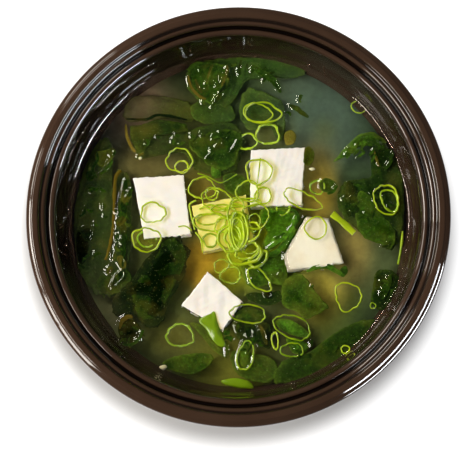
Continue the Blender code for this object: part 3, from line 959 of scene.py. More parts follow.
@dataclass(frozen=True)
class Tofu:
    """A cut block of tofu.

    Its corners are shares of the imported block's box, counter-clockwise from below
    left, as the top is seen; rise is the slope of its top along +X.
    """

    node: str
    corners: tuple[Pair, ...]
    rise: float = 0.0
    depth: float = 13.0
    edge: float = 0.30
    rough: float = 0.10
    relief: float = 0.07
    tallest: float = 0.12
    lower: float = 0.05
    top_rings: int = 17
    edge_rings: int = 6
    side_rings: int = 14
    steps: int = 200
    film: bool = False
    tone: float = 0.0

    def corner_points(self) -> Array:
        """The corners in millimetres."""
        low, high = box_of(self.node)
        return low[:2] + np.array(self.corners) * (high - low)[:2]

    def top(self, x: Array) -> Array:
        """Height of the top over x: level, or a plane that falls along X."""
        low, high = box_of(self.node)
        if self.rise == 0.0:
            return np.full_like(np.asarray(x, dtype=float), high[2])
        edge = low[0] if self.rise < 0.0 else high[0]
        return high[2] + self.rise * (np.asarray(x) - edge)

    def within(self, x: Array, y: Array) -> Array:
        """Distance inside the outline: the least of the distances to its sides.

        Args:
            x: x of the points, in one row.
            y: y of the points, in one row.

        Returns:
            The distances, below zero outside.
        """
        corners = self.corner_points()
        along = np.roll(corners, -1, 0) - corners
        along = along / np.linalg.norm(along, axis=1)[:, None]
        distances = (along[:, 0, None] * (y - corners[:, 1, None])
                     - along[:, 1, None] * (x - corners[:, 0, None]))
        return distances.min(0)

    def outline(self) -> Array:
        """The corners joined by straight sides of many points, slightly rough."""
        corners = self.corner_points()
        after = np.roll(corners, -1, 0)
        share = np.linspace(0.0, 1.0, self.steps // len(corners), endpoint=False)
        sides = corners[:, None] + (after - corners)[:, None] * share[None, :, None]
        line = sides.reshape(-1, 2)
        seed = int(abs(corners[0, 0]) * 10)
        shift = [Unevenness(seed + axis, 0.8, 5.0).at(*line.T) for axis in (0, 1)]
        return line + np.stack(shift, 1) * self.rough

    def skin(self) -> Skin:
        """Rings of the outline from the top's middle over the edge to the bottom.

        Each ring is the outline moved towards the middle by an inset; over the edge
        the insets and drops follow a quarter circle.
        """
        line = self.outline()
        middle = line.mean(0)
        shares = np.linspace(0.06, 1.0, self.top_rings + 1)[:-1]
        angle = np.linspace(0.0, math.pi / 2, self.edge_rings)
        reach = np.linalg.norm(line - middle, axis=1).mean()
        over = 1.0 - self.edge * (1.0 - np.sin(angle)) / reach
        sides = np.linspace(self.edge, self.depth, self.side_rings + 1)[1:]
        scales = np.concatenate([shares * over[0], over, np.ones(self.side_rings),
                                 [0.6, 0.05]])
        corner = self.edge * (1 - np.cos(angle))
        drops = np.concatenate([np.zeros(self.top_rings), corner, sides,
                                sides[[-1, -1]]])
        flat = middle + (line - middle)[None] * scales[:, None, None]
        top = self.top(flat[..., 0])
        uneven = Unevenness(int(reach * 100), 1.5, 9.0).at(flat[..., 0], flat[..., 1])
        relief = self.relief * uneven * (drops < self.depth)[:, None]
        relief = np.minimum(relief, self.tallest) - self.lower
        rows = np.dstack([flat, top - drops[:, None] + relief])
        form = np.zeros_like(rows)
        form[..., 0] = scales[:, None]
        form[..., 2] = self.tone
        return Skin.tube(rows, form)


@dataclass(frozen=True)
class Sheet:
    """What leaves that lie narrow or flat share.

    The line holds their points in turn. A sheet with a rise pierces the broth, which
    climbs its edge by that share of its full climb. With a node's name, the sheet takes
    its place from that node's box.
    """

    name: str
    line: Line
    rise: float = 0.0
    tone: float = 0.5
    age: float = 0.0
    depth: float = 0.35
    reach: float = 0.60
    ripple: float = 0.10
    thick: float = 0.30
    node: str = ""

    def seed(self) -> int:
        """A seed from the sheet's name."""
        return sum(map(ord, self.name))

    def formed(self, rows: Array, edge: Array) -> Skin:
        """Close rows of points to a skin whose form layer holds edge, age and tone."""
        form = np.empty_like(rows)
        form[..., 0] = edge
        form[..., 1:] = self.age, self.tone
        return Skin.tube(rows, form)


@dataclass(frozen=True)
class Leaf(Sheet):
    """A narrow leaf: a smooth spine with half widths, a crown and ripples.

    Its line holds x, y and half width in turn; with a node's name, x and y are shares
    of that node's box.
    """

    rise: float = 0.9
    depth: float = 0.25
    crown: float = 0.05
    ragged: float = 0.10
    blunt: int = 9
    narrowest: float = 0.004
    sides_apart: float = 31.0
    ripple: float = 0.04
    thick: float = 0.22
    steps: int = 14
    columns: int = 24

    def path(self) -> Array:
        """The spine as a fine curve of x, y and half width, in millimetres."""
        rows = np.array(self.line, dtype=float).reshape(-1, 3)
        if self.node:
            low, high = box_of(self.node)
            rows[:, :2] = low[:2] + rows[:, :2] * (high - low)[:2]
        return spline(rows, self.steps)

    def plan(self, u: Array) -> tuple[Array, Array, Array]:
        """Where the sheet lies: across share u, the point spine + across * width * u.

        Args:
            u: shares across the leaf from -1 to 1, one for each column.

        Returns:
            x and y of each point, rows along the spine, and each row's taper.
        """
        path = self.path()
        share = np.linspace(0.0, 1.0, len(path))[:, None]
        along = headings(path, False)
        across = np.stack([-along[:, 1], along[:, 0]], 1)
        taper = 1.0 - np.abs(2.0 * share - 1.0) ** self.blunt
        taper = np.sqrt(np.clip(taper, self.narrowest, 1.0))
        side = np.sign(u)[None, :]
        length = np.cumsum(np.linalg.norm(np.gradient(path[:, :2], axis=0), axis=1))
        run = length[:, None] + self.sides_apart * side
        ragged = 1.0 + self.ragged * Unevenness(self.seed(), 1.5, 7.0).at(run, side)
        width = path[:, 2, None] * taper * ragged
        return (path[:, 0, None] + across[:, 0, None] * width * u,
                path[:, 1, None] + across[:, 1, None] * width * u, taper)

    def edge(self) -> Array:
        """The closed line round the leaf: one side out, the other back."""
        x, y, _ = self.plan(np.array([-1.0, 1.0]))
        return np.stack([np.concatenate([x[:, 0], x[::-1, 1]]),
                         np.concatenate([y[:, 0], y[::-1, 1]])], 1)

    def skin(self, water: "Water") -> Skin:
        """The sheet with a thickness: columns go round it, top then underside.

        Its height is the water's, less its depth, plus crown (1 - u^2) and ripple.

        Args:
            water: gives the height of the broth's top.

        Returns:
            The closed skin.
        """
        angle = TURN * (np.arange(self.columns) + 0.5) / self.columns
        u, lift = np.cos(angle), np.sin(angle)
        x, y, taper = self.plan(u)
        z = LEVEL - self.depth + self.crown * (1.0 - u**2) * taper
        z = z + (water.at(x, y) if self.rise else 0.0)
        z = z + self.ripple * Unevenness(self.seed() + 1, 2.0, 7.0).at(x, y)
        z = z + 0.5 * self.thick * np.sign(lift) * np.abs(lift) ** 0.5
        return self.formed(np.stack([x, y, z], -1), np.abs(u))


@dataclass(frozen=True)
class Patch(Sheet):
    """A leaf that lies flat: a smooth closed outline round a gently bulged sheet.

    Its line holds x and y in turn, with a node's name measured from the middle of that
    node's box.
    """

    bulge: float = 0.15
    rough: float = 0.03
    blunt: int = 6
    thinnest: float = 0.05
    steps: int = 9
    rings: int = 14

    def plan(self, shares: Array) -> tuple[Array, Array]:
        """Where the sheet lies: at share r, middle + (outline - middle) r.

        Args:
            shares: shares of the way from the middle to the outline.

        Returns:
            x and y of each point, a row for each share.
        """
        line = np.array(self.line, dtype=float).reshape(-1, 2)
        if self.node:
            line = line + sum(box_of(self.node))[:2] / 2
        line = spline(line, self.steps, closed=True)
        middle = line.mean(0)
        rough = Unevenness(self.seed(), 0.8, 4.0).at(line[:, 0], line[:, 1])[:, None]
        rough = self.rough * rough * (self.rise == 0.0)
        line = middle + (line - middle) * (1.0 + rough)
        r = shares[:, None]
        return (middle[0] + (line[:, 0] - middle[0]) * r,
                middle[1] + (line[:, 1] - middle[1]) * r)

    def edge(self) -> Array:
        """The closed line round the patch."""
        x, y = self.plan(np.ones(1))
        return np.stack([x[0], y[0]], 1)

    def skin(self, water: "Water") -> Skin:
        """The sheet with a thickness: rings go out over the top, back underneath.

        Its height is the water's, less its depth, plus bulge (1 - r^2) and ripple.

        Args:
            water: gives the height of the broth's top.

        Returns:
            The closed skin.
        """
        out = np.linspace(0.06, 1.0, self.rings)
        shares = np.concatenate([out, out[::-1]])
        side = np.concatenate([np.ones(self.rings), -np.ones(self.rings)])[:, None]
        x, y = self.plan(shares)
        z = LEVEL - self.depth + self.bulge * (1.0 - shares[:, None] ** 2)
        z = z + (water.at(x, y) if self.rise else 0.0)
        z = z + self.ripple * Unevenness(self.seed() + 1, 2.5, 9.0).at(x, y)
        edge = np.clip(1.0 - shares**self.blunt, self.thinnest, 1.0)[:, None]
        edge = np.sqrt(edge)
        rows = np.stack([x, y, z + 0.5 * self.thick * side * edge], -1)
        return self.formed(rows, shares[:, None])


@dataclass(frozen=True)
class Band:
    """A loop of onion: an uneven closed band standing on its edge.

    x, y, half_length, half_width and turn give its oval, low the height of its
    underside over the soup, fall its slope towards the compass direction toward.
    """

    x: float
    y: float
    half_length: float
    half_width: float
    turn: float = 0.0
    low: float = -0.5
    tall: float = 1.1
    fall: float = 0.0
    toward: float = 0.0
    lobe: float = 0.05
    thick: float = 0.48
    tone: float = 0.2
    uneven: float = 0.05
    sway: float = 0.12
    steps: int = 96

    def line(self) -> Array:
        """The loop's middle line.

        Radius share 1 + lobe cos(3a + x) + small waves on the oval's angle a.

        Returns:
            Points (steps, 3) on its underside.
        """
        angle = TURN * np.arange(self.steps) / self.steps
        seed = int(abs(self.x * 37 + self.y * 11) * 7) % 9973
        wave = Unevenness(seed, 2.0, 7.0, 6).at(5 * np.cos(angle), 5 * np.sin(angle))
        swell = 1.0 + self.lobe * np.cos(3.0 * angle + self.x) + self.uneven * wave
        u = self.half_length * swell * np.cos(angle)
        v = self.half_width * swell * np.sin(angle)
        turn = math.radians(self.turn)
        x = self.x + u * math.cos(turn) - v * math.sin(turn)
        y = self.y + u * math.sin(turn) + v * math.cos(turn)
        heading = math.radians(self.toward)
        drop = self.fall * ((x - self.x) * math.cos(heading)
                            + (y - self.y) * math.sin(heading))
        return np.stack([x, y, LEVEL + self.low - drop + self.sway * wave], 1)

    def skin(self, water: "Water") -> Skin:
        """The section carried along the line; its heights are its own."""
        return band_skin(self.line(), True, self.thick, self.tall, self.tone)


SQUARED = 0.7          # power that draws the oval section out to a rounded rectangle
THICK_WAVE = 0.22
TALL_WAVE = 0.12


def band_skin(line: Array, closed: bool, thick: float, tall: float, tone: float,
              columns: int = 10) -> Skin:
    """Carry an upright oval section along a line.

    A section point is line + outwards * thick/2 cos b + up * tall/2 (1 + sin b), with
    both drawn out by a power so that the section is a rounded rectangle.

    Args:
        line: points of the band's underside.
        closed: whether the line joins up.
        thick: thickness of the band.
        tall: height of the band.
        tone: its tone for the material.
        columns: points round a section.

    Returns:
        The closed skin.
    """
    along = headings(line, closed)
    out = np.stack([along[:, 1], -along[:, 0]], 1)
    angle = TURN * np.arange(columns) / columns
    c, s = np.cos(angle), np.sin(angle)
    c = np.sign(c) * np.abs(c) ** SQUARED
    s = np.sign(s) * np.abs(s) ** SQUARED
    seed = int(tone * 100) + len(line)
    wave = Unevenness(seed, 2.0, 9.0, 8).at(line[:, 0], line[:, 1])
    width = 0.5 * thick * (1.0 + THICK_WAVE * wave)[:, None]
    high = 0.5 * tall * (1.0 + TALL_WAVE * wave)[:, None]
    rows = np.stack([line[:, 0, None] + out[:, 0, None] * width * c,
                     line[:, 1, None] + out[:, 1, None] * width * c,
                     line[:, 2, None] + high * (1.0 + s)], -1)
    form = np.zeros_like(rows)
    form[..., 0] = 0.5 + 0.5 * s
    form[..., 2] = tone
    return Skin.loop(rows, form) if closed else Skin.tube(rows, form)


@dataclass(frozen=True)
class Thread:
    """A thin strip of onion along a smooth line of x, y, height over the soup."""

    points: Line
    thick: float = 0.5
    tall: float = 0.6
    tone: float = 0.2
    name: str = ""
    steps: int = 10

    def skin(self, water: "Water") -> Skin:
        """The strip's band along its spline; its heights are its own."""
        line = spline(np.reshape(self.points, (-1, 3)), self.steps)
        line[:, 2] += LEVEL
        return band_skin(line, False, self.thick, self.tall, self.tone)


@dataclass(frozen=True)
class Strewn:
    """Small bent folds of leaf strewn over an oval stretch, seeded by its place."""

    x: float
    y: float
    half_x: float
    half_y: float
    count: int
    tone: float = 0.9
    age: float = 0.0
    longest: float = 3.2
    shortest: float = 0.35
    most_bent: float = 1.6
    rises: Pair = (0.6, 1.3)
    widths: Line = (0.16, 0.42, 0.36, 0.14)

    def folds(self) -> list[Leaf]:
        """The folds: each a short arc at a drawn place, heading and bend."""
        draw = np.random.default_rng(int(abs(self.x * 13 + self.y * 7) * 10))
        turn = TURN * draw.random(self.count)
        out = np.sqrt(draw.random(self.count))
        heading = TURN * draw.random(self.count)
        length = self.longest * draw.uniform(self.shortest, 1.0, self.count)
        bend = draw.uniform(-self.most_bent, self.most_bent, self.count)
        rise = draw.uniform(*self.rises, self.count)
        share = np.linspace(-0.5, 0.5, len(self.widths))
        way = heading[:, None] + bend[:, None] * share
        x = self.x + (self.half_x * out * np.cos(turn))[:, None]
        y = self.y + (self.half_y * out * np.sin(turn))[:, None]
        x = x + length[:, None] * share * np.cos(way)
        y = y + length[:, None] * share * np.sin(way)
        width = np.broadcast_to(self.widths, x.shape)
        lines = np.stack([x, y, width], 2).reshape(self.count, -1)
        return [Leaf(f"strewn_{self.x:.0f}_{self.y:.0f}_{number}", tuple(line),
                     float(up), self.tone, self.age, steps=5, columns=12)
                for number, (line, up) in enumerate(zip(lines, rise))]


# The blocks of tofu, each on the box of its node.
BLOCKS = (
    Tofu("tofu_1", ((0.2, 0), (1, 0.07), (0.88, 1), (0, 0.95))),
    # tofu_2 lies under the heap: its tone paints it yellow, for onion juice and for light
    # through the onions
    Tofu("tofu_2", ((0.19, 0), (1, 0.19), (0.86, 1), (0, 0.81)), tone=0.9),
    Tofu("tofu_3", ((0, 0), (0.93, 0.02), (1, 1), (0.01, 0.96))),
    Tofu("tofu_4", ((0.06, 0), (1, 0.15), (0.74, 0.98), (0.37, 1), (0, 0.29)), -0.09,
        edge=0.8, rough=0.18, film=True),
    Tofu("tofu_5", ((0.67, 0), (1, 0.48), (0.43, 1), (0, 0.42))),
)

# The leaves at the surface, each on the box of its node.
FLOATING = (
    Patch("wakame_1", (-5.7, 3, -6, 5.5, -3.7, 7.3, 0.8, 7.1, 5.2, 6, 5.4, 2.5, 3.3, -1,
        1, -5.1, -1, -4.1, -3.8, -1.5), 0.9, 0.9, depth=0.4),
    Leaf("wakame_2", (0.05, 0.93, 0.7, 0.45, 0.63, 1, 0.77, 0.37, 1, 0.94, 0.03, 0.5),
        1, 0.8),
    Patch("wakame_3", (-7.8, 3, -3.8, 3.9, 0.2, 5.3, 5.2, 4.7, 8.7, 3.7, 8.7, 1.7, 4.2,
        1.1, -0.8, 0.1, -3, -2.5, -4.4, -4.9, -6.8, -2), tone=0.5, age=0.15, depth=0.4),
    Patch("wakame_4", (-7.4, 2.2, -3.4, 4.6, 2.6, 6, 7.2, 4.4, 6.8, -0.3, 4.6, -5.2,
        0.1, -5.8, -3.9, -2.8, -6.9, -0.3), tone=0.7),
    Patch("wakame_5", (-2.6, 0.9, -0.4, 1.5, 2.8, 2.1, 2.8, 0.1, 1.5, -1.9, -0.5, -3.3,
        -2.1, -2.1), 1.1, 1.2, 0.4),
    Leaf("wakame_6", (0.69, 1, 0.6, 0.52, 0.76, 0.9, 0.45, 0.53, 0.9, 0.52, 0.29, 0.8,
        0.41, 0, 0.5), 0.8, 0.3),
    Patch("wakame_7", (7.2, 7.4, 6, 9.8, 3.6, 12.1, 0.6, 11.2, -1, 7.5, -4.1, 3, -7.1,
        -1, -8.6, -6, -6.1, -10.5, -2.1, -11.5, 0.8, -7.5, 3.4, -2.5, 6.2, 3), tone=0.3,
        depth=0.3),
    Patch("wakame_8", (-2.6, 3.3, 0.2, 3.6, 2.6, 1.6, 3, -1.2, 0.8, -3.1, -2, -2.7,
        -3.6, 0.4), 1.15, 0.1, 0.2),
    Patch("wakame_9", (-7.9, -0.8, -4.4, 1.2, 1.1, 2.1, 5.7, 1.9, 6.7, 0, 3.9, -2.6,
        0.1, -3.8, -4.4, -3), tone=1.1, age=0.15, depth=0.45),
    Patch("wakame_10", (-4.5, -1.5, -3.7, 4.1, -0.2, 5.5, 3.3, 4.9, 4.9, 2.5, 3.2, -0.7,
        -0.2, -4.1, -3.2, -6.1), tone=1, age=0.1, depth=0.5),
    Leaf("wakame_11", (0, -0.06, 0.6, 0.3, 0.06, 0.9, 0.62, 0.4, 0.9, 0.93, 0.93, 0.6),
        0.5, 2.2),
    Patch("wakame_12", (-5.5, 4.5, -1.5, 5.9, 1.1, 3.7, 3.5, 0.1, 6.7, -3.7, 3.9, -5.5,
        0.1, -7.1, -2.7, -4.7, -6.1, -3.5, -6.7, 1), tone=1.1, age=0.12, depth=0.35),
    Patch("wakame_13", (-5.2, 1.1, -2.5, 2.1, 1, 1.7, 4.5, 2.5, 5.6, 0.7, 2.9, -1.5,
        -1.4, -1.3), 0, 0.35, depth=0.5),
    Leaf("wakame_14", (0, 0.2, 0.5, 0.25, 0.85, 0.8, 0.5, 1.05, 0.9, 0.8, 0.9, 0.8),
        0.5, 1.5, depth=0.4),
    Patch("wakame_15", (-2.2, 0.4, -0.8, 2, 1.2, 1.6, 2.8, 0.2, 1.8, -1.6, -0.2, -2.2,
        -1.8, -1.4), 1, 1, 0.2),
    Leaf("wakame_16", (0.57, 1, 0.6, 0.51, 0.64, 1, 0.45, 0.26, 0.9, 0.57, 0.01, 0.5),
        0.7, 0.4),
    Patch("wakame_17", (-4.8, 7.2, -1.5, 7.9, 0.2, 3.5, 3.8, -0.5, 6.2, -4.9, 4.8, -8.3,
        0.4, -6.9, -3.6, -4.9, -5.4, 0.7), tone=1.2, depth=0.3),
    Leaf("wakame_18", (0.82, 0.95, 0.7, 0.48, 0.5, 1.1, 0.16, 0.04, 0.6), 1, 0.8),
    Leaf("wakame_19", (-0.05, 0.7, 0.5, 0.25, 1.15, 0.7, 0.55, 1.2, 0.8, 0.98, 0.1,
        0.6), 0.8, 2),
)

# Folds, curls and leaf edges that break the surface.
CURLS = (
    Leaf("fold_1", (-6.8, 21, 0.3, -4.5, 23.8, 0.6, -2.2, 26.4, 0.3)),
    Leaf("fold_2", (-2.3, 20, 0.3, -0.9, 21.6, 0.5, 0, 23.6, 0.3), 0.8),
    Leaf("fold_3", (-9.4, 18.2, 0.3, -8, 18.4, 0.3), 0.8),
    Leaf("fold_4", (-29.5, 18.9, 0.3, -27.6, 19.8, 0.4), 1, age=0.6),
    Leaf("edge_1", (-33, 28.5, 0.3, -32.6, 25, 0.4, -31.4, 22, 0.4, -30.2, 20.2, 0.3),
        0.5, 1, 1.6),
    Leaf("edge_2", (-14.9, 42.8, 0.3, -13.9, 39.2, 0.4, -11.6, 36.6, 0.4, -9.6, 35.6,
        0.3), 0.8, 1, 1.6, 0.1),
    Leaf("fold_5", (-12.8, 41.6, 0.3, -11.9, 39.4, 0.5, -10.8, 37.4, 0.3), 1, age=0.5),
    Leaf("fold_6", (-7.6, 46.2, 0.3, -8.8, 43.2, 0.4, -9.6, 40.4, 0.3), 1, age=0.4),
    Leaf("fold_7", (-3.4, 45.8, 0.3, -3.8, 42.6, 0.4, -5.2, 39.2, 0.3), 1, age=0.6),
    Leaf("curl_1", (0.6, 47.2, 0.3, 0.2, 44.8, 0.5, 0.2, 42.6, 0.3), 1.1),
    Leaf("curl_2", (14.6, 33.8, 0.3, 17.4, 32.2, 0.8, 20.2, 30, 0.4), 1),
    Patch("curl_3", (-45.6, -3.2, -43.8, -2, -42.2, -3, -42.2, -5.2, -44.2, -5.8), 1.1,
        0.2),
    Patch("curl_4", (-35.4, 0.6, -33.4, 1.6, -32.4, 0.2, -33.6, -1.6, -35.4, -1.2), 1.1,
        age=0.3),
    Patch("curl_5", (-35.8, -4.6, -34.4, -3.8, -33.6, -5, -35, -6.2), 1),
    Patch("curl_6", (-35.2, -10.6, -33.6, -10.2, -32.4, -12.4, -33.4, -14.2, -34.6,
        -12.6), 1.1, age=0.5),
    Patch("curl_7", (-34, -14.6, -32.8, -14, -33, -16.4, -34.6, -18.2, -36.6, -19.4,
        -36, -17), 1.1, 0.2),
    Patch("curl_8", (-38.2, -14.2, -36.6, -13.2, -36.4, -14.6, -37.6, -15.6), 0.9,
        age=0.4),
    Patch("curl_27", (-33.9, 8.2, -32.6, 7.6, -31.4, 7, -32.2, 5.2, -33.4, 4.2, -34.2,
        5.6), 1.1, 0.8, 0.4),
    Patch("curl_28", (-44.4, 14.2, -42.8, 14.6, -41.8, 13.2, -42.6, 11.8, -44, 12),
        0.9),
    Leaf("curl_29", (-37.8, 20.4, 0.3, -36.6, 19.4, 0.4, -35.8, 20.6, 0.3), 1, 0.8),
    Leaf("curl_30", (-46.2, -12.6, 0.3, -44.4, -13.8, 0.3), 0.9),
    Leaf("curl_31", (-45.9, 1.2, 0.2, -44.8, 2.4, 0.3), 0.9),
    Leaf("edge_3", (-34.2, -31.4, 0.3, -33.6, -29.2, 0.6, -31.8, -27.8, 0.6, -30.4, -28,
        0.3), 1, 1, 1.8, 0.1),
    Patch("curl_9", (-0.8, -29.8, 0.6, -29.6, 0.9, -31.4, 0, -32.6, -1, -31.4), 1.1,
        0.2),
    Patch("curl_10", (1.6, -31.6, 3.6, -31.2, 4.4, -32.6, 3.6, -33.8, 2.2, -33.4), 1.1,
        0.2),
    Leaf("curl_11", (5.6, -30.2, 0.4, 6.9, -32.4, 0.7, 7.9, -36, 0.4), 1.1, 0.3, 0.4),
    Leaf("curl_12", (-3.8, -34.8, 0.4, -3.2, -37, 0.6, -3.4, -39, 0.4), 1.1, 1, 0.3),
    Patch("curl_13", (38.8, 20.4, 42, 20.8, 44.4, 20, 43.8, 17.4, 42.2, 15, 40.6, 15.8),
        1.2, 0.3),
    Leaf("curl_14", (30.8, 19.3, 0.3, 33, 19.9, 0.4, 34.2, 21.8, 0.3), 1.1, 1),
    Leaf("curl_15", (35.2, 23.4, 0.3, 37.8, 23.2, 0.5, 40.4, 21.8, 0.3), 1.1, 1),
    Patch("curl_16", (31.8, 10.8, 33.2, 10.4, 33.8, 8.6, 32.8, 7, 31.6, 8.4), 0.9, 0.2),
    Patch("curl_17", (32, 6.6, 33.6, 6.8, 34.4, 5.4, 33.4, 4.6, 32.2, 5), 1.1),
    Leaf("curl_18", (33.1, 3.8, 0.3, 32.7, 2.3, 0.4), 0.9),
    Leaf("curl_19", (41, -7.9, 0.3, 42.4, -7.5, 0.4, 43.6, -6.2, 0.3), 1),
    Patch("curl_20", (29.2, -14, 30.6, -13.4, 31.2, -15, 30, -16.4, 28.8, -15.4), 1, 1),
    Leaf("curl_21", (20.6, -19.8, 0.3, 21.4, -18.8, 0.3), 1, 1),
    Patch("curl_22", (7.4, -20.6, 9.2, -20.4, 9.4, -22.2, 7.8, -22.6), 0.9, 0),
    Leaf("curl_23", (14.2, 3.4, 0.3, 16.2, 2.6, 0.5, 17, 0.4, 0.5, 15.2, -2.6, 0.4),
        0.8, 1.4),
    Leaf("curl_24", (10.2, -5.6, 0.3, 11.8, -4.6, 0.4, 13.2, -3.8, 0.3), 0.8, 1.2),
    Patch("curl_25", (18.6, 20.4, 20.4, 21.4, 21.8, 19.4, 21.2, 16.6, 19.6, 15.8, 18.4,
        17.4), 0.9, 1.8, 0.5, -0.2),
    Patch("curl_26", (13.2, 25.4, 15.2, 26.4, 16.6, 24.8, 15.8, 22.4, 13.6, 22.2), 0.2,
        1.6, 0.8),
    Leaf("curl_32", (25.4, 7.6, 0.3, 27, 8.2, 0.4, 28.4, 10, 0.3), 1, 1.4),
    Leaf("curl_34", (-41.4, 20.2, 0.3, -41, 18, 0.4, -42.4, 15.2, 0.4, -41.2, 12.6,
        0.3), 1.1, 1),
    Leaf("curl_35", (-40.2, 13.6, 0.3, -38, 15.6, 0.5, -36.6, 17.8, 0.3), 1.1, 1.2),
    Leaf("curl_36", (-8, 33.2, 0.3, -5.4, 36.6, 0.5, -2.8, 39.8, 0.3), 1.2),
    Leaf("curl_37", (-33, 30, 0.3, -27, 29.8, 0.4, -24, 31, 0.4, -20, 30.7, 0.4, -15,
        29.5, 0.3), 0.7, 0.1),
    Leaf("curl_38", (-33.4, -35.6, 0.3, -30.8, -35.8, 0.4, -28.4, -33.8, 0.4, -27.4,
        -31.6, 0.3), 1.2, 1),
    Leaf("curl_39", (-33.8, 5, 0.3, -31.6, 7.6, 0.4, -31, 9.6, 0.3), 1.2),
    Leaf("curl_40", (-35.4, -2, 0.3, -33.4, 0.2, 0.5, -32.4, 2.4, 0.3), 1.2),
    Leaf("curl_41", (42, 14.6, 0.3, 43.6, 16.4, 0.4, 44.6, 19.4, 0.3), 1.3, 1),
    Leaf("curl_42", (2.4, -38.4, 0.3, 4, -35.6, 0.4, 5.6, -33.4, 0.3), 1.2),
    Leaf("curl_43", (42, -24.2, 0.3, 43.8, -21.4, 0.4, 45.8, -18.8, 0.3), 1.2),
    Leaf("curl_44", (7, 40.6, 0.3, 8.6, 42.6, 0.4, 10.4, 43.6, 0.3), 1.1),
    Leaf("curl_45", (8.2, -8.4, 0.3, 12.4, -5.6, 0.5, 15.6, -2, 0.5, 16.6, 1.4, 0.3),
        0.9, 3.4),
    Leaf("curl_46", (19.4, 1.4, 0.3, 16.6, -3.4, 0.3, 13.6, -8.4, 0.3, 12.9, -11.2,
        0.2), 1.2, 0.6),
    Leaf("curl_33", (39.2, 20, 0.2, 39.8, 17.6, 0.4, 40.4, 15.4, 0.2), 0.6, 1.2, 0.8),
)

# Crumbs of tofu, each by its outline.
CRUMBS = (
    (-22.8, -42.2, -21.4, -41.6, -20.6, -42.2, -21.6, -43.1),
    (-23.2, -44.8, -22.6, -44.6, -22.4, -45.4, -23, -45.6),
    (-29.2, 18.4, -28.6, 18.8, -28.2, 18.3, -28.8, 17.9),
    (20.2, 15, 21.4, 15.3, 22, 14.8, 21, 14.4),
)

# Stretches of small strewn folds.
STREWN = (
    Strewn(-33.3, 2, 1.6, 11, 14),
    Strewn(-34.8, -13, 2.2, 6, 4, age=0.2),
    Strewn(-42, 1, 4, 16, 12),
    Strewn(-14, 22.5, 13, 4, 12),
    Strewn(-8.5, 40.5, 5.5, 6, 14, age=0.2),
    Strewn(3, 45, 7, 2.5, 5),
    Strewn(16, 34, 4, 3, 4),
    Strewn(37.5, 7, 6.5, 8, 10),
    Strewn(37, 21, 6, 3.5, 10, 1.3),
    Strewn(42.5, -20, 2.5, 5, 8),
    Strewn(2.5, -33.5, 6.5, 4, 10),
    Strewn(-31, -31.5, 4, 4, 10, age=0.2),
    Strewn(24, -37, 9, 4, 6),
    Strewn(9, -17, 6, 5, 7),
)

# The brown stalk of a leaf at the left.
RIB = Thread((-34.3, 14.8, -0.2, -35.8, 12.4, -0.1, -36.1, 5, -0.2, -36.4, -2, -0.1,
    -37.1, -6.5, -0.2, -38.5, -11.3, -0.4), 0.9, 0.5, 0.3, steps=16)

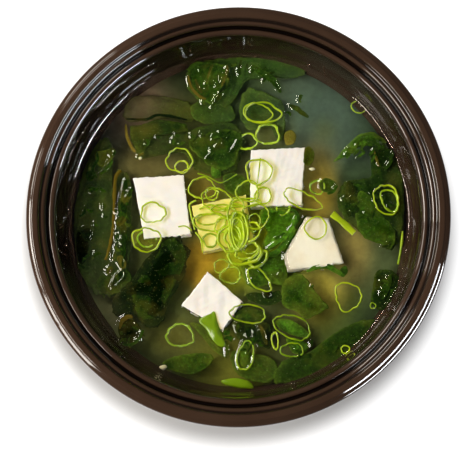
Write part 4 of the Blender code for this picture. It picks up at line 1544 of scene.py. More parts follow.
# The leaves sunk in the broth.
SUNKEN = (
    Patch("dark_under_band", (-30, 18.6, -27, 24.4, -18, 25.8, -10, 28, -3, 29, 1.4, 25,
        0.6, 19, -2.2, 14, -8, 13.6, -13, 15.4, -16, 20, -22, 19.6), depth=1.2),
    Patch("brown_sheet", (-33.4, 36, -26, 37.4, -17, 36, -12, 33, -14, 29.6, -20, 31,
        -27, 30.2, -33, 30.2), tone=1, age=0.3, depth=2.9),
    Patch("top_green", (-15, 45, -7, 47.8, 2, 48.4, 10, 48, 19, 45.2, 17.4, 42.4, 9, 42,
        2, 41.4, -2, 35, -8, 32.6, -14, 38), tone=1.2, depth=1.9),
    Patch("below_cone", (-14, 34, -9, 36, -3, 34.5, -1, 30.5, -7, 28.6, -13, 30),
        tone=1, depth=2.1),
    Patch("ring_shade", (2, 39, 7, 38, 12.6, 35, 13.4, 29, 12.6, 24, 10.8, 24, 10.6, 28,
        3, 27, 0, 32), tone=1.2, depth=2.3),
    Patch("left_sheet", (-38, 24.6, -42, 22, -46.6, 10, -48, -2, -46, -14, -42, -20.4,
        -38.4, -21, -36.6, -10, -36.6, 4, -37, 16), tone=0.8, age=0.1, depth=1.7),
    Patch("left_strip", (-35.4, 15, -31.6, 12, -31.4, 0, -31.6, -10, -34, -20, -38, -21,
        -36.2, -8, -36.4, 6), tone=0.4, depth=1.1),
    Patch("near_wall_left", (-40, -16, -33, -14, -30.8, -17, -33.6, -20.6, -38.6, -21.2,
        -41, -19), tone=0.6, age=0.1, depth=0.4),
    Patch("big_lower_left", (-14.2, -9.2, -16, -6.4, -18.6, -3.6, -22, -4.6, -24.4,
        -8.4, -28, -12.6, -31, -17, -35.6, -21.4, -36.4, -25.4, -33.8, -28.4, -30,
        -27.4, -26, -31, -21.6, -28.8, -20.2, -23.6, -17.6, -19.4, -15.6, -15, -15,
        -12), tone=0.05, depth=0.25),
    Patch("ring_three_shade", (-30.6, -2.6, -27, -2, -22.4, -1.6, -18, -2.4, -18.4,
        -5.6, -23, -8.6, -28.6, -8.4, -31, -6), tone=1.6, age=0.6, depth=0.5),
    Patch("onion_fold_shade", (-14, -29.6, -10, -30.4, -6, -34.6, -3.6, -39.2, -7,
        -37.6, -11, -33), tone=1.6, age=0.3, depth=1),
    Patch("under_heap", (-4.6, 13, -1, 14, 3, 11.4, 3.4, 7.6, -0.6, 7, -4, 9.4),
        tone=1.3, depth=0.8),
    Patch("below_heap", (0.4, -12.4, 4, -10.6, 9, -9, 13.4, -9.6, 14, -14.4, 13.4,
        -18.6, 9, -18.4, 4, -19.6, 1.4, -16.6), tone=1.5, depth=0.6),
    Patch("bottom_right", (9.6, -46.6, 12.4, -40.6, 19, -38.6, 24, -35, 29, -31.6, 35,
        -29, 38.4, -29.6, 33.6, -36, 26.6, -41.4, 18, -45.8), tone=0.8, depth=0.5),
    Patch("bottom_middle", (-2.4, -38, 2, -38, 8.6, -39.4, 11, -42, 9, -46.4, 3, -46,
        -1.4, -43), tone=1.3, age=0.1, depth=1),
    Patch("petal_twelve", (10.2, -29, 14, -28.4, 18.4, -31, 20.4, -33.6, 16.6, -33.6,
        12, -31.6), tone=2.6, depth=0.5),
    Patch("petal_thirteen", (13.6, -34, 17, -34.2, 20, -36, 18.8, -38.4, 15.2, -38),
        tone=2.2, depth=0.5),
    Patch("crescent_fill", (0.4, -36.6, 2.6, -35.4, 3.2, -38.4, 2, -42, 0.4, -41.6),
        tone=2.6, age=0.3, depth=0.5),
    Patch("left_black", (-46.8, -3.4, -43.8, -5, -43.6, -9.6, -45.4, -12.6, -46.8,
        -9.6), tone=0.1, depth=-0.1),
    Patch("bottom_dark", (-2, -29.6, 3, -29, 8.4, -30, 9.4, -34, 8.6, -37, 5, -35.4, 0,
        -34.6), tone=0.3, depth=0.7),
    Patch("right_dark", (38, 24.4, 42.6, 21.6, 46.6, 14, 47.6, 4, 46.8, -4, 43.6, -8.4,
        38.4, -5.6, 34.4, -3.2, 29.6, 1.4, 28.2, 6, 30.4, 11, 35.6, 12, 38.6, 14),
        tone=0.5, depth=0.5),
    Patch("right_arch", (27.4, 17.2, 31, 21.4, 34.6, 24.8, 39, 25.6, 42.6, 22.6, 38.4,
        22, 34, 21, 31, 18.8), tone=2.2, depth=0.5),
    Patch("right_low", (39.4, -15, 43.4, -14.6, 46.4, -18, 44.4, -22.6, 41, -26, 37.8,
        -24, 38.4, -19), tone=0.4, depth=0.1),
    Patch("ring_eleven_fill", (-1.4, -26.6, 2.6, -25, 7, -26.6, 8, -28.4, 4, -29.6, 0,
        -29), tone=0.7, depth=0.6),
    Patch("between_tofus", (6.2, 3, 10, 3.8, 14, 3, 17.4, 0.8, 16.2, -1.8, 13.4, -4.8,
        10.6, -7.8, 7.4, -8.8, 6.8, -6.4, 8, -3.4, 6, -0.4), tone=4, depth=-0.1),
    Patch("small_green", (-8, 15.8, -5.6, 15.6, -5.4, 12.8, -7.8, 12.6), tone=3,
        depth=0.6),
)


@dataclass(frozen=True)
class Toppings:
    """Everything that floats in the soup or lies sunk in it."""

    tofu: tuple[Tofu, ...] = BLOCKS
    floating: tuple[Sheet, ...] = FLOATING
    curls: tuple[Sheet, ...] = CURLS
    crumbs: tuple[Line, ...] = CRUMBS
    strewn: tuple[Strewn, ...] = STREWN
    sunken: tuple[Sheet, ...] = SUNKEN
    rib: Thread = RIB
    under: float = 0.4
    sunken_bulge: float = 0.6
    sunken_ripple: float = 0.18

    def tied(self) -> list[Sheet]:
        """The floating leaves, each tied to its node."""
        return [replace(leaf, node=leaf.name) for leaf in self.floating]

    def folds(self) -> list[Sheet]:
        """All folds that pierce the broth: those set out singly and those strewn."""
        strewn = [fold for stretch in self.strewn for fold in stretch.folds()]
        return [*self.curls, *strewn]

    def build(self, water: "Water") -> None:
        """Set down the tofu and all leaves.

        Args:
            water: gives the height of the broth's top.
        """
        curd = CurdFinish("fresh_tofu").material()
        # tofu_4 lies under the clear film, which lights it more: its copy of the curd is
        # painted darker to make up for it, a painted shade
        darkened_curd = CurdFinish("wet_tofu_painted_darker", light=(0.49, 0.47, 0.37), cream=(0.40, 0.33, 0.20)
                         ).material()
        for block in self.tofu:
            set_down(block.node + "_cut", block.skin(), darkened_curd if block.film else curd,
                     (block.node,))
        crumbs = [Patch(f"crumb_{number}", outline, depth=-0.1, bulge=0.2, thick=0.6,
                        steps=4, rings=6).skin(water)
                  for number, outline in enumerate(self.crumbs)]
        set_down("tofu_crumbs", Skin.joined(crumbs), curd)
        leaf_finish = LeafFinish("soaked_wakame").material()
        for leaf in self.tied():
            set_down(leaf.name + "_leaf", leaf.skin(water), leaf_finish,
                     (leaf.name,))
        curls = Skin.joined([leaf.skin(water) for leaf in self.folds()])
        set_down("wakame_curls", curls, leaf_finish)
        sunken = Skin.joined([
            replace(leaf, depth=leaf.depth + self.under, bulge=self.sunken_bulge,
                    ripple=self.sunken_ripple).skin(water) for leaf in self.sunken])
        set_down("sunken_wakame", sunken, leaf_finish)
        stalk = LeafFinish("wakame_stalk_skin", dark=(0.09, 0.055, 0.006),
                           green=(0.16, 0.11, 0.010), speck=(0.20, 0.15, 0.02)
                           ).material()
        set_down("wakame_rib", self.rib.skin(water), stalk,
                 ("wakame_stalk",))


@dataclass(frozen=True)
class Ring:
    """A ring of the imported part: its node, and the form that its box doesn't tell.

    ratio is its half width over its half length, before it is turned; rise is how far
    the broth climbs it. One that is neither dry nor falls hangs from its box's top.
    """

    node: str
    ratio: float
    turn: float = 0.0
    tall: float = 1.1
    fall: float = 0.0
    toward: float = 0.0
    lobe: float = 0.05
    dry: bool = False
    tone: float = 0.2
    rise: float = 0.4
    inset: float = 0.2

    def band(self) -> Band:
        """The band that fills the node's box."""
        low, high = box_of(self.node)
        middle, half = (low + high) / 2, (high - low) / 2
        turn = math.radians(self.turn)
        length = half[0] / math.hypot(math.cos(turn), self.ratio * math.sin(turn))
        length = length / (1.0 + 0.5 * self.lobe) - self.inset
        level = not (self.dry or self.fall)
        base = (high[2] - self.tall if level else middle[2] - 0.5 * self.tall) - LEVEL
        return Band(middle[0], middle[1], length, length * self.ratio, self.turn, base,
                    self.tall, self.fall, self.toward, self.lobe, tone=self.tone)


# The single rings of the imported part.
RINGS = (
    Ring("onion_ring_1", 0.93, lobe=0.05),
    Ring("onion_ring_2", 0.82, lobe=0.08, dry=True, tall=0.5),
    Ring("onion_ring_3", 0.81, fall=0.33, toward=-90, dry=True, tall=0.9),
    Ring("onion_ring_4", 0.79, -8),
    Ring("onion_ring_5", 0.58, -4, tall=1.3),
    Ring("onion_ring_6", 1, lobe=0.07, dry=True, tall=1.2),
    Ring("onion_ring_7", 1.27, 22, lobe=0.04, tall=1.3, rise=1),
    Ring("onion_ring_8", 0.4, -22, fall=0.2, dry=True, tall=0.9),
    Ring("onion_ring_9", 1.03, fall=0.09, dry=True, tall=0.7),
    Ring("onion_ring_10", 1.1, 12, lobe=0.07),
    Ring("onion_ring_11", 0.53, -4, fall=0.165, dry=True, tall=1, tone=0.4),
    Ring("onion_ring_12", 0.59, -22, tone=0.7),
    Ring("onion_ring_13", 0.6, tone=0.7),
    Ring("onion_ring_14", 0.52, -48, rise=0.9, tone=0.4),
    Ring("onion_ring_15", 1.81, -12, tall=1.3, rise=0.9, tone=0.5),
)

# The rings heaped up in the middle.
HEAP = (
    Band(-6.4, 5.9, 4.6, 3.2, -20, 0.5, 1.2),
    Band(-7.8, 7.4, 1.8, 1.6, 0, 0.6, 1),
    Band(-8.4, -0.6, 4.7, 2.6, 0, 0.6, 1.3),
    Band(-8.6, 0.2, 3.6, 1.5, 8, 0.6, 0.9),
    Band(-8.3, -5.9, 2, 1.95, 0, 0.5, 1, tone=0.5),
    Band(2.6, 8.2, 3.2, 3, 0, 0.9, 1.3, lobe=0.09),
    Band(6.9, 6.9, 2.3, 2.4, -30, 0.9, 0.9),
    Band(4.8, 0.9, 3.9, 3.6, 10, 1.2, 1.3),
    Band(4.4, -0.9, 1.7, 2.6, -10, 1, 1.2, tone=0.5),
    Band(0, -3.4, 2.6, 5.5, 0, 1.5, 1.4, thick=0.8),
    Band(-0.2, -3.8, 1.7, 4.4, 4, 1.8, 1.2, thick=0.7),
    Band(-2.6, -5.4, 3.3, 3.9, 0, 0.8, 1.4, thick=0.8),
    Band(-1.8, -5.6, 2.1, 3, 10, 1, 1.2, thick=0.7),
    Band(1.6, -9.5, 4.8, 3.4, 12, 0.4, 1.4, thick=0.9),
    Band(2.4, -9, 3.4, 2.4, 20, 0.7, 1.2, thick=0.7),
    Band(3.6, -3.6, 3, 2.2, 60, 1.1, 1.2, thick=0.7, tone=0),
    Band(-4.6, -1.6, 2.6, 1.9, 30, 0.9, 1.1, thick=0.6, tone=0),
    Band(5.6, -11.4, 3, 1.7, 40, 0.1, 1.2, thick=0.8, tone=0.4),
    Band(3.4, -8.4, 2.2, 1.4, 25, 0.9, 1),
    Band(-1, 2.4, 2.2, 3.8, -12, 1, 1.2),
    Band(2, 4.9, 4.4, 1.2, 4, 1, 1),
    Band(-4.2, 2.6, 3.8, 1.6, -12, 0.8, 1),
)

# Rings inside other rings, sunken rings and tiny ones.
INNER = (
    Band(-16.6, 15.7, 1.9, 1.8, 0, -0.4, 0.9),
    Band(5.4, 31.5, 4.2, 2.7, -12, -0.3, 1),
    Band(-26.6, -5.2, 2.6, 2.3, 0, -0.9, 0.8, thick=0.6, tone=1),
    Band(43.4, 5.6, 2.2, 3.4, 24, -0.6, 1, thick=0.6, tone=0.6),
    Band(8.2, 25.4, 3.4, 3, 0, -1.9, 0.9, thick=0.7, tone=0.5),
    Band(2.5, 23.2, 2.6, 2.3, 20, -1.5, 0.9, thick=0.7, tone=0.5),
    Band(-2.5, -15.7, 3, 2.4, 10, -2.6, 0.9, thick=0.6, tone=1),
    Band(-5.2, -13, 2.2, 1.8, 30, -2.4, 0.9, thick=0.5, tone=1),
    Band(-16.9, -33.1, 3.9, 3.2, 0, -2.3, 1, thick=0.7, tone=1),
    Band(34.8, 33.4, 2.1, 1.9, 0, -1.5, 0.7, thick=0.4, tone=0.6),
    Band(30.3, -37.3, 1.2, 1.1, 0, -0.5, 0.6, thick=0.4),
    Band(38.3, -24.8, 0.8, 0.8, 0, -0.5, 0.6, thick=0.35, tone=0.6),
    Band(10.3, -34.8, 0.9, 2.4, 6, -0.5, 0.9),
    Band(5.4, 5.8, 2, 1.7, 0, -0.6, 0.8, thick=0.5, tone=0.6),
    Band(12.6, 3.6, 1.9, 2.1, 0, -0.6, 0.8, thick=0.6, tone=0.6),
    Band(22.6, 9.6, 2.1, 2, 0, -0.7, 0.8, thick=0.6, tone=0.6),
)

# What the heap lies on.
CORE = Patch("heap_core", (-2.6, 1.4, -0.4, 2.6, 2.2, 1.8, 2.8, -2.4, 2.6, -6.4, 0.8,
    -9, -1.8, -8.8, -2.6, -4.6), tone=0.35, depth=-0.6, bulge=0.7, thick=0.8)

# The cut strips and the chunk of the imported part.
STRIPS = (
    Thread((26.8, 1.8, 0.2, 30, -0.9, 0, 33.1, -3.9, -0.1), 1.7, 0.5,
        name="onion_strip_1"),
    Patch("onion_strip_2", (-11.6, -28.8, -8.6, -27.2, -7, -26.5, -6.1, -29.4, -4.6,
        -33.6, -3.9, -36.2, -5.4, -36.4, -7.6, -34.6, -9.4, -31.6), tone=0.95,
        depth=-0.8, bulge=0.4, thick=0.35),
    Patch("onion_chunk", (-4.9, -46, -1, -45.4, 2.6, -46.2, 4, -47.6, 3.4, -48.4, 0,
        -48.2, -4.2, -47.2), tone=1, depth=0.6, bulge=0.4, thick=1.2),
    Thread((45.6, -13, -0.4, 46.5, -8, -0.3, 47, -3.5, -0.4), 0.7, 1.8, 0.5,
        name="onion_strip_3"),
)

# Loose strips of onion on and round the heap.
THREADS = (
    Thread((-12, 13.8, -0.2, -9, 12.8, 0, -5.6, 11, 0.1, -3, 12, 0, -0.6, 13.5, -0.2),
        0.4, tone=0.6),
    Thread((-12.4, 5.8, 0.3, -14.2, 4.6, 0.3, -13.9, 2, 0.3, -13.2, -1, 0.4, -12.7,
        -2.8, 0.5), 0.5),
    Thread((-12.5, -3.5, 0.5, -11, -5.5, 0.5, -10.6, -8, 0.4, -10.4, -9.4, 0.2), 0.5),
    Thread((-17.5, -1.9, 0.5, -15.5, -1.7, 0.5, -13.5, -3, 0.3), 0.4),
    Thread((6.2, 18, 0.8, 5.8, 14, 2.3, 5.3, 10.5, 1.4), 0.4),
    Thread((-11.4, 3.2, 0.6, -8, 4.4, 0.9, -4.6, 3.2, 0.9, -1.2, 4.6, 1.2, 2.2, 3.4,
        1.4), 0.5),
    Thread((-2.9, 1.4, 1.2, -2.6, -2.4, 1.8, -0.6, -5.8, 2, 1.8, -7, 1.7), 0.6),
    Thread((2.6, 1.4, 1.4, 2.2, -2.2, 1.8, 0.6, -6.2, 1.7, -1.6, -9.4, 0.9), 0.6,
        tone=0.4),
)


@dataclass(frozen=True)
class Onions:
    """All spring onion: single rings, strips and the heap in the middle."""

    rings: tuple[Ring, ...] = RINGS
    heap: tuple[Band, ...] = HEAP
    inner: tuple[Band, ...] = INNER
    threads: tuple[Thread, ...] = THREADS
    core: Patch = CORE
    strips: tuple["Thread | Patch", ...] = STRIPS

    def build(self, water: "Water") -> None:
        """Set down the rings, the strips and the heap over its core.

        Args:
            water: gives the height of the broth's top.
        """
        finish = OnionFinish("spring_onion_flesh").material()
        for ring in self.rings:
            set_down(ring.node + "_band", ring.band().skin(water), finish,
                     (ring.node,))
        heap = [self.core.skin(water), *(band.skin(water) for band in self.heap)]
        set_down("heap_of_rings", Skin.joined(heap), finish,
                 ("onion_heap",))
        loose = {"inner_rings": self.inner, "onion_threads": self.threads}
        for name, bits in loose.items():
            set_down(name, Skin.joined([bit.skin(water) for bit in bits]), finish)
        for strip in self.strips:
            set_down(strip.name + "_cut", strip.skin(water), finish,
                     (strip.name,))


# ---- broth


RING_REACH = 0.6        # how far out the broth climbs a ring
BLOCK_REACH = 0.8       # how far out it climbs a block
BLOCK_RISE = 0.7        # a block's share of the full climb


@dataclass(frozen=True)
class Holder:
    """A line that the broth climbs, on both sides: a leaf's edge or a ring.

    Its rise is a share of the broth's full climb.
    """

    line: Array
    closed: bool
    rise: float
    reach: float
    soft: float = 0.15

    def near(self, x: Array, y: Array) -> Array:
        """Which points lie within six reaches of the line's box."""
        low, high = self.line.min(0) - 6 * self.reach, self.line.max(0) + 6 * self.reach
        return (x > low[0]) & (x < high[0]) & (y > low[1]) & (y < high[1])

    def away(self, x: Array, y: Array) -> Array:
        """Least distance of each point to the line's pieces.

        Args:
            x: x of the points, in one row.
            y: y of the points, in one row.

        Returns:
            The distances.
        """
        starts = self.line if self.closed else self.line[:-1]
        ends = np.roll(self.line, -1, 0) if self.closed else self.line[1:]
        side = ends - starts
        length = np.maximum((side**2).sum(1), 1e-12)
        dx, dy = x[:, None] - starts[:, 0], y[:, None] - starts[:, 1]
        share = np.clip((dx * side[:, 0] + dy * side[:, 1]) / length, 0.0, 1.0)
        return np.hypot(dx - share * side[:, 0], dy - share * side[:, 1]).min(1)

    def lift(self, x: Array, y: Array) -> Array:
        """The climb: rise * exp(-(sqrt(d^2 + s^2) - s) / reach), s the soft width."""
        distance = np.sqrt(self.away(x, y) ** 2 + self.soft**2) - self.soft
        return self.rise * np.exp(-distance / self.reach)


@dataclass(frozen=True)
class Water:
    """The height of the broth's top over the level, which climbs all that holds it.

    Up the wall it climbs slope * soft * ln(1 + e^((foot - gap) / soft)). The climbs add
    up as the cube root of the sum of their cubes. Over dry blocks the top dives under;
    over a wet block it lies as a film.
    """

    holders: tuple[Holder, ...]
    blocks: tuple[Tofu, ...]
    edge: float
    climb: float = 0.55
    wall_slope: float = 0.74
    wall_foot: float = 0.55
    wall_soft: float = 0.12
    film: float = 0.08
    sway: float = 0.012
    shore: float = 0.5
    dive: float = 0.6

    def at(self, x: Array, y: Array) -> Array:
        """Height over the level.

        Args:
            x: x of the points, of any shape.
            y: y of the points, of the same shape.

        Returns:
            The heights, in the same shape.
        """
        shape = np.shape(x)
        x, y = np.ravel(x), np.ravel(y)
        gap = np.clip(self.edge - np.hypot(x, y), -0.1, 4.0)
        foot = np.log1p(np.exp((self.wall_foot - gap) / self.wall_soft))
        cubes = (self.wall_slope * self.wall_soft * foot) ** 3
        for holder in self.holders:
            near = holder.near(x, y)
            cubes[near] += (self.climb * holder.lift(x[near], y[near])) ** 3
        height = np.cbrt(cubes) + self.sway * Unevenness(3, 5.0, 14.0).at(x, y)
        for block in self.blocks:
            inside = block.within(x, y)
            top = block.top(x) - LEVEL
            share = np.clip(inside / self.shore, 0.0, 1.0)
            over = top + self.film if block.film else top - self.dive
            height = height * (1.0 - share) + over * share
        return height.reshape(shape)

    @classmethod
    def around(cls, bowl: Bowl, toppings: Toppings, onions: Onions) -> "Water":
        """Gather all that holds the broth up.

        Args:
            bowl: gives the wall.
            toppings: give the blocks and the leaves with a rise.
            onions: give the rings that float.

        Returns:
            The settled top.
        """
        leaves = [leaf for leaf in (*toppings.tied(), *toppings.folds()) if leaf.rise]
        holders = [Holder(leaf.edge(), True, leaf.rise, leaf.reach) for leaf in leaves]
        holders += [Holder(ring.band().line()[:, :2], True, ring.rise, RING_REACH)
                    for ring in onions.rings if not ring.dry]
        holders += [Holder(block.corner_points(), True, BLOCK_RISE, BLOCK_REACH)
                    for block in toppings.tofu if not block.film]
        return cls(tuple(holders), toppings.tofu, bowl.soup_edge)


@dataclass(frozen=True)
class Broth:
    """The broth: a cloudy body, and over it a clear top that wets all that floats."""

    murk_depth: float = 4.2
    bottom_depth: float = 4.6
    into_wall: float = 0.35
    over_edge: float = 0.7
    grid: int = 300
    murk_rings: int = 90
    murk_steps: int = 200
    cloud: float = 0.25
    cloud_margin: float = 4.0

    def clear_skin(self, water: Water, bowl: Bowl) -> Skin:
        """The clear body: a square grid drawn onto a disc, its side and flat bottom.

        A grid point (a, b) in -1..1 goes to radius r = max(|a|, |b|) and to the angle
        that divides its square ring evenly. The outer rings lie closer together.

        Args:
            water: gives the height of the top.
            bowl: gives the wall.

        Returns:
            The closed skin.
        """
        side = np.linspace(-1.0, 1.0, self.grid + 1)
        a, b = np.meshgrid(side, side)
        radius = np.maximum(np.abs(a), np.abs(b))
        small = np.where(radius > 0, radius, 1.0)
        quarter = math.pi / 4
        angle = np.select(
            [(a >= np.abs(b)), (b >= np.abs(a)), (-a >= np.abs(b))],
            [quarter * b / small, quarter * (2 - a / small), quarter * (4 - b / small)],
            quarter * (6 + a / small))
        reach = bowl.soup_edge + self.over_edge + self.into_wall
        radius = np.interp(radius, [0.0, 0.9, 1.0], [0.0, reach - 1.9, reach])
        x, y = radius * np.cos(angle), radius * np.sin(angle)
        z = LEVEL + water.at(x, y)
        top = np.stack([x, y, z], -1).reshape(-1, 3)
        count = self.grid + 1
        index = np.arange(count * count).reshape(count, count)
        quads = np.stack([index[:-1, :-1], index[:-1, 1:], index[1:, 1:],
                          index[1:, :-1]], -1).reshape(-1, 4)
        edge = np.concatenate([index[0, :-1], index[:-1, -1], index[-1, :0:-1],
                               index[:0:-1, 0]])
        low = LEVEL - self.bottom_depth
        inward = (bowl.wall_radius(low) + self.into_wall) / reach
        ring = top[edge] * np.array([inward, inward, 0.0]) + np.array([0.0, 0.0, low])
        start = len(top)
        below = start + np.arange(len(edge))
        after = np.roll(below, -1)
        walls = np.stack([np.roll(edge, -1), edge, below, after], -1)
        middle = start + len(edge)
        base = np.stack([below, np.full(len(edge), middle), after], -1)
        points = np.vstack([top, ring, [[0.0, 0.0, low]]])
        return Skin(points, [quads, walls, base], np.zeros_like(points)).outward()

    def murk_skin(self, bowl: Bowl) -> Skin:
        """The cloudy body: a turned hollow, filled from the floor, with a fine top.

        Args:
            bowl: gives the hollow.

        Returns:
            The closed skin.
        """
        top = LEVEL - self.murk_depth
        wall = bowl.inside(-self.into_wall, top)[::-1]
        radii = np.linspace(0.0, wall[0, 0], self.murk_rings)[:-1]
        profile = np.vstack([np.stack([radii, np.full(len(radii), top)], 1), wall])
        skin = Skin.turned(profile, self.murk_steps)
        x, y, z = skin.points.T
        cloud = Unevenness(5, 6.0, 22.0).at(x, y) * np.clip(z - top + 1.0, 0.0, 1.0)
        margin = (wall[0, 0] - np.hypot(x, y)) / self.cloud_margin
        skin.points[:, 2] += self.cloud * cloud * np.clip(margin, 0.0, 1.0)
        return skin

    def build(self, bowl: Bowl, water: Water) -> None:
        """Set down the cloudy body and the clear top in place of the part's soup."""
        murk = MurkFinish("cloudy_broth").material()
        set_down("cloudy_body", self.murk_skin(bowl), murk, ("soup",))
        clear = ClearFinish("clear_broth").material()
        set_down("clear_top", self.clear_skin(water, bowl), clear,
                 ("soup",))


@dataclass(frozen=True)
class Trail:
    """A trickle of clear broth on the bowl's inner wall.

    Its points are bearings in degrees and heights in turn; wide is its half width.
    """

    points: Line
    wide: float = 0.30
    proud: float = 0.22
    columns: int = 10
    below_ridge: float = 1.2
    lean: float = 0.2

    def skin(self, bowl: Bowl) -> Skin:
        """The trickle: an oval section carried along the wall.

        A section point is the path + towards the axis * proud cos a + sideways *
        wide sin a, both narrowing to the ends.

        Args:
            bowl: gives the wall.

        Returns:
            The closed skin.
        """
        path = spline(np.reshape(self.points, (-1, 2)), 10)
        wall = bowl.profile()
        wall = wall[: np.argmax(wall[:, 1] >= bowl.ridge_height - self.below_ridge)]
        radius = np.interp(path[:, 1], wall[:, 1], wall[:, 0])
        angle = np.radians(path[:, 0])
        c, s = np.cos(angle), np.sin(angle)
        middle = np.stack([radius * c, radius * s, path[:, 1]], 1)
        inward = np.stack([-c, -s, np.full(len(angle), self.lean)], 1)
        side = np.cross(np.gradient(middle, axis=0), inward)
        side /= np.maximum(np.linalg.norm(side, axis=1, keepdims=True), 1e-9)
        share = np.linspace(0.0, 1.0, len(path))
        taper = np.sqrt(np.clip(1.0 - np.abs(2.0 * share - 1.0) ** 4, 0.02, 1.0))
        turn = TURN * np.arange(self.columns) / self.columns
        shift = (inward[:, None] * (self.proud * np.cos(turn))[None, :, None]
                 + side[:, None] * (self.wide * np.sin(turn))[None, :, None])
        return Skin.tube(middle[:, None] + shift * taper[:, None, None])


# Trickles on the wall.
TRAILS = (
    Trail((117, 55.6, 122, 56.4, 128, 56.2, 134, 57.4, 140, 57.2, 146, 58.6), 0.45,
        0.3),
    Trail((147, 55.4, 152, 55.8, 158, 57, 163, 56.8, 170, 58.8), 0.45, 0.3),
    Trail((86, 53.5, 86.6, 56.5, 85.6, 58.6)),
    Trail((99, 54.5, 99.5, 58.6)),
    Trail((106, 54, 105.5, 58)),
    Trail((181, 52, 183, 55, 181.5, 58)),
    Trail((192, 52, 191, 58.6)),
    Trail((198, 54, 199, 58.6)),
    Trail((230, 53, 231.5, 56, 230.5, 58.8), 0.45),
    Trail((244, 49.2, 243.6, 54, 244.2, 58.8), 0.4),
    Trail((274, 50.5, 273.5, 57.5)),
    Trail((287, 50, 287.5, 58)),
    Trail((60, 51, 61, 54)),
)

# Drops on the wall: bearing, height and size.
DROPS = (
    (66, 50.5, 0.45), (59.5, 50.2, 0.35), (14, 50.6, 0.4), (326.4, 52, 0.45),
    (328.8, 53.5, 0.35), (176, 50.4, 0.4), (179, 51.6, 0.45), (186, 50.6, 0.35),
    (188.5, 52.4, 0.4), (195, 50.8, 0.35), (288, 49.6, 0.8), (252, 49.9, 0.35),
    (262, 50.2, 0.3), (344, 50.8, 0.35),
)


@dataclass(frozen=True)
class Splashes:
    """Clear broth left above the level: trickles on the wall and drops."""

    trails: tuple[Trail, ...] = TRAILS
    drops: tuple[Line, ...] = DROPS
    drop_lean: float = 0.3

    def build(self, bowl: Bowl) -> None:
        """Set the trickles and drops down as one piece."""
        skins = [trail.skin(bowl) for trail in self.trails]
        lean = self.drop_lean
        skins += [Trail((bearing - lean, height - size, bearing + lean, height + size),
                        size, size).skin(bowl) for bearing, height, size in self.drops]
        clear = ClearFinish("splashed_broth").material()
        set_down("splashes", Skin.joined(skins), clear)


# ---- studio


@dataclass(frozen=True)
class Pane:
    """A soft light: compass bearing and height of its middle, its spans and glow.

    A pane for glints only shows in glossy surfaces.
    """

    name: str
    bearing: float
    elevation: float
    wide: float
    high: float
    glow: float
    colour: Colour
    glints: bool = False
    distance: float = 0.9
    over: float = 0.05
    target: float = 0.055

    def build(self) -> None:
        """Hang a rectangle at its bearing, facing the bowl; power = 4 glow area."""
        light = bpy.data.lights.new(self.name, "AREA")
        light.shape = "RECTANGLE"
        light.size = 2.0 * self.distance * math.tan(math.radians(self.wide) / 2)
        light.size_y = 2.0 * self.distance * math.tan(math.radians(self.high) / 2)
        light.energy = 4.0 * self.glow * light.size * light.size_y
        light.color = self.colour
        hung = bpy.data.objects.new(self.name, light)
        bearing, elevation = math.radians(self.bearing), math.radians(self.elevation)
        reach = self.distance * math.cos(elevation)
        spot = Vector((reach * math.cos(bearing), reach * math.sin(bearing),
                       self.distance * math.sin(elevation) + self.over))
        facing = (spot - Vector((0.0, 0.0, self.target))).to_track_quat("Z", "Y")
        hung.matrix_world = Matrix.Translation(spot) @ facing.to_matrix().to_4x4()
        hung.visible_camera = False
        hung.visible_diffuse = not self.glints
        bpy.context.scene.collection.objects.link(hung)


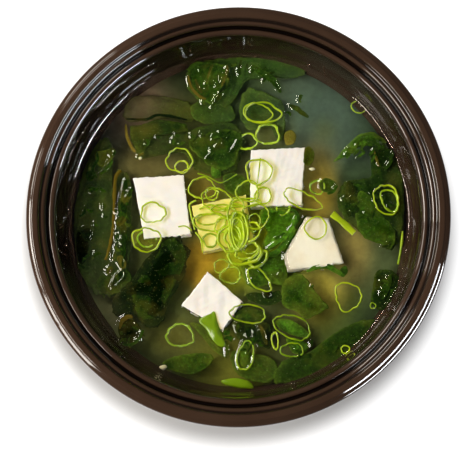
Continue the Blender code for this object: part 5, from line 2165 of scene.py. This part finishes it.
@dataclass(frozen=True)
class Studio:
    """Floor, lights, surroundings and camera.

    left holds the bearing, span and glow of each pane on the left.
    """

    azimuth: float = 12.0
    elevation: float = 81.5
    distance: float = 550.0
    lens: float = 147.807
    aim: Line = (0.097, -3.383, 61.502)
    floor: float = 6.0
    warm: Colour = (1.0, 0.93, 0.84)
    cool: Colour = (0.93, 0.96, 1.0)
    pane_elevation: float = 42.0
    pane_high: float = 15.0
    left: tuple[Line, ...] = (
        (131.0, 13.5, 12.0), (158.0, 9.0, 9.0), (173.5, 12.0, 18.0),
        (185.0, 7.0, 9.0), (197.0, 7.0, 13.0), (210.0, 12.0, 12.5))
    sky: float = 0.06
    ceiling: float = 0.04
    sky_below: float = 0.35
    ceiling_above: float = 0.90
    sensor: float = 36.0

    def panes(self) -> list[Pane]:
        """The lights: a row of warm panes on the left, a cool strip below right."""
        warm = [Pane(f"pane_left_{number}", bearing, self.pane_elevation, wide,
                     self.pane_high, glow, self.warm)
                for number, (bearing, wide, glow) in enumerate(self.left, 1)]
        return [*warm, Pane("strip_right", 329.0, 30.0, 44.0, 9.0, 40.0, self.cool,
                            glints=True)]

    def surroundings(self) -> None:
        """A dim ceiling over bright walls: the glow falls as the view rises."""
        world = bpy.data.worlds.new("studio")
        bpy.context.scene.world = world
        world.use_nodes = True
        wiring = Wiring(world.node_tree)
        direction = wiring.node("TexCoord").outputs["Generated"]
        rise = wiring.node("SeparateXYZ", {0: direction}).outputs[2]
        glow = wiring.span(rise, self.sky_below, self.ceiling_above, self.sky,
                           self.ceiling)
        wiring.fill(world.node_tree.nodes["Background"],
                    {"Color": (1.0, 1.0, 1.0), "Strength": glow})

    def camera(self) -> None:
        """Look at the aim from the azimuth and elevation, with +Y up in the view."""
        azimuth, elevation = math.radians(self.azimuth), math.radians(self.elevation)
        back = Vector((math.sin(azimuth) * math.cos(elevation),
                       -math.cos(azimuth) * math.cos(elevation), math.sin(elevation)))
        right = Vector((0.0, 1.0, 0.0)).cross(back).normalized()
        up = back.cross(right)
        data = bpy.data.cameras.new("camera")
        data.lens = self.lens
        data.sensor_width = self.sensor
        data.clip_start, data.clip_end = 0.02, 20.0
        made = bpy.data.objects.new("camera", data)
        spot = (Vector(self.aim) + back * self.distance) * MM
        turn = Matrix((right, up, back)).transposed()
        made.matrix_world = Matrix.Translation(spot) @ turn.to_4x4()
        bpy.context.scene.collection.objects.link(made)
        bpy.context.scene.camera = made

    def build(self) -> None:
        """Lay the floor, hang the lights and place the camera."""
        half = self.floor / 2
        mesh = bpy.data.meshes.new("table_top")
        corners = np.array([(-half, -half, 0.0), (half, -half, 0.0), (half, half, 0.0),
                            (-half, half, 0.0)])
        mesh.from_pydata(corners, [], [(0, 1, 2, 3)])
        mesh.materials.append(FloorFinish("white_table").material())
        floor = bpy.data.objects.new("table_top", mesh)
        bpy.context.scene.collection.objects.link(floor)
        for pane in self.panes():
            pane.build()
        self.surroundings()
        self.camera()
        bpy.context.scene.view_settings.view_transform = "Standard"
        log.info("studio: %d lights", len(self.panes()))


def main() -> None:
    """Build every sub-assembly in order."""
    logging.basicConfig(level=logging.INFO, format="%(name)s %(message)s")
    bowl = Bowl()
    toppings = Toppings()
    onions = Onions()
    water = Water.around(bowl, toppings, onions)
    bowl.build()
    toppings.build(water)
    onions.build(water)
    Broth().build(bowl, water)
    Splashes().build(bowl)
    Studio().build()


if __name__ == "__main__":
    main()
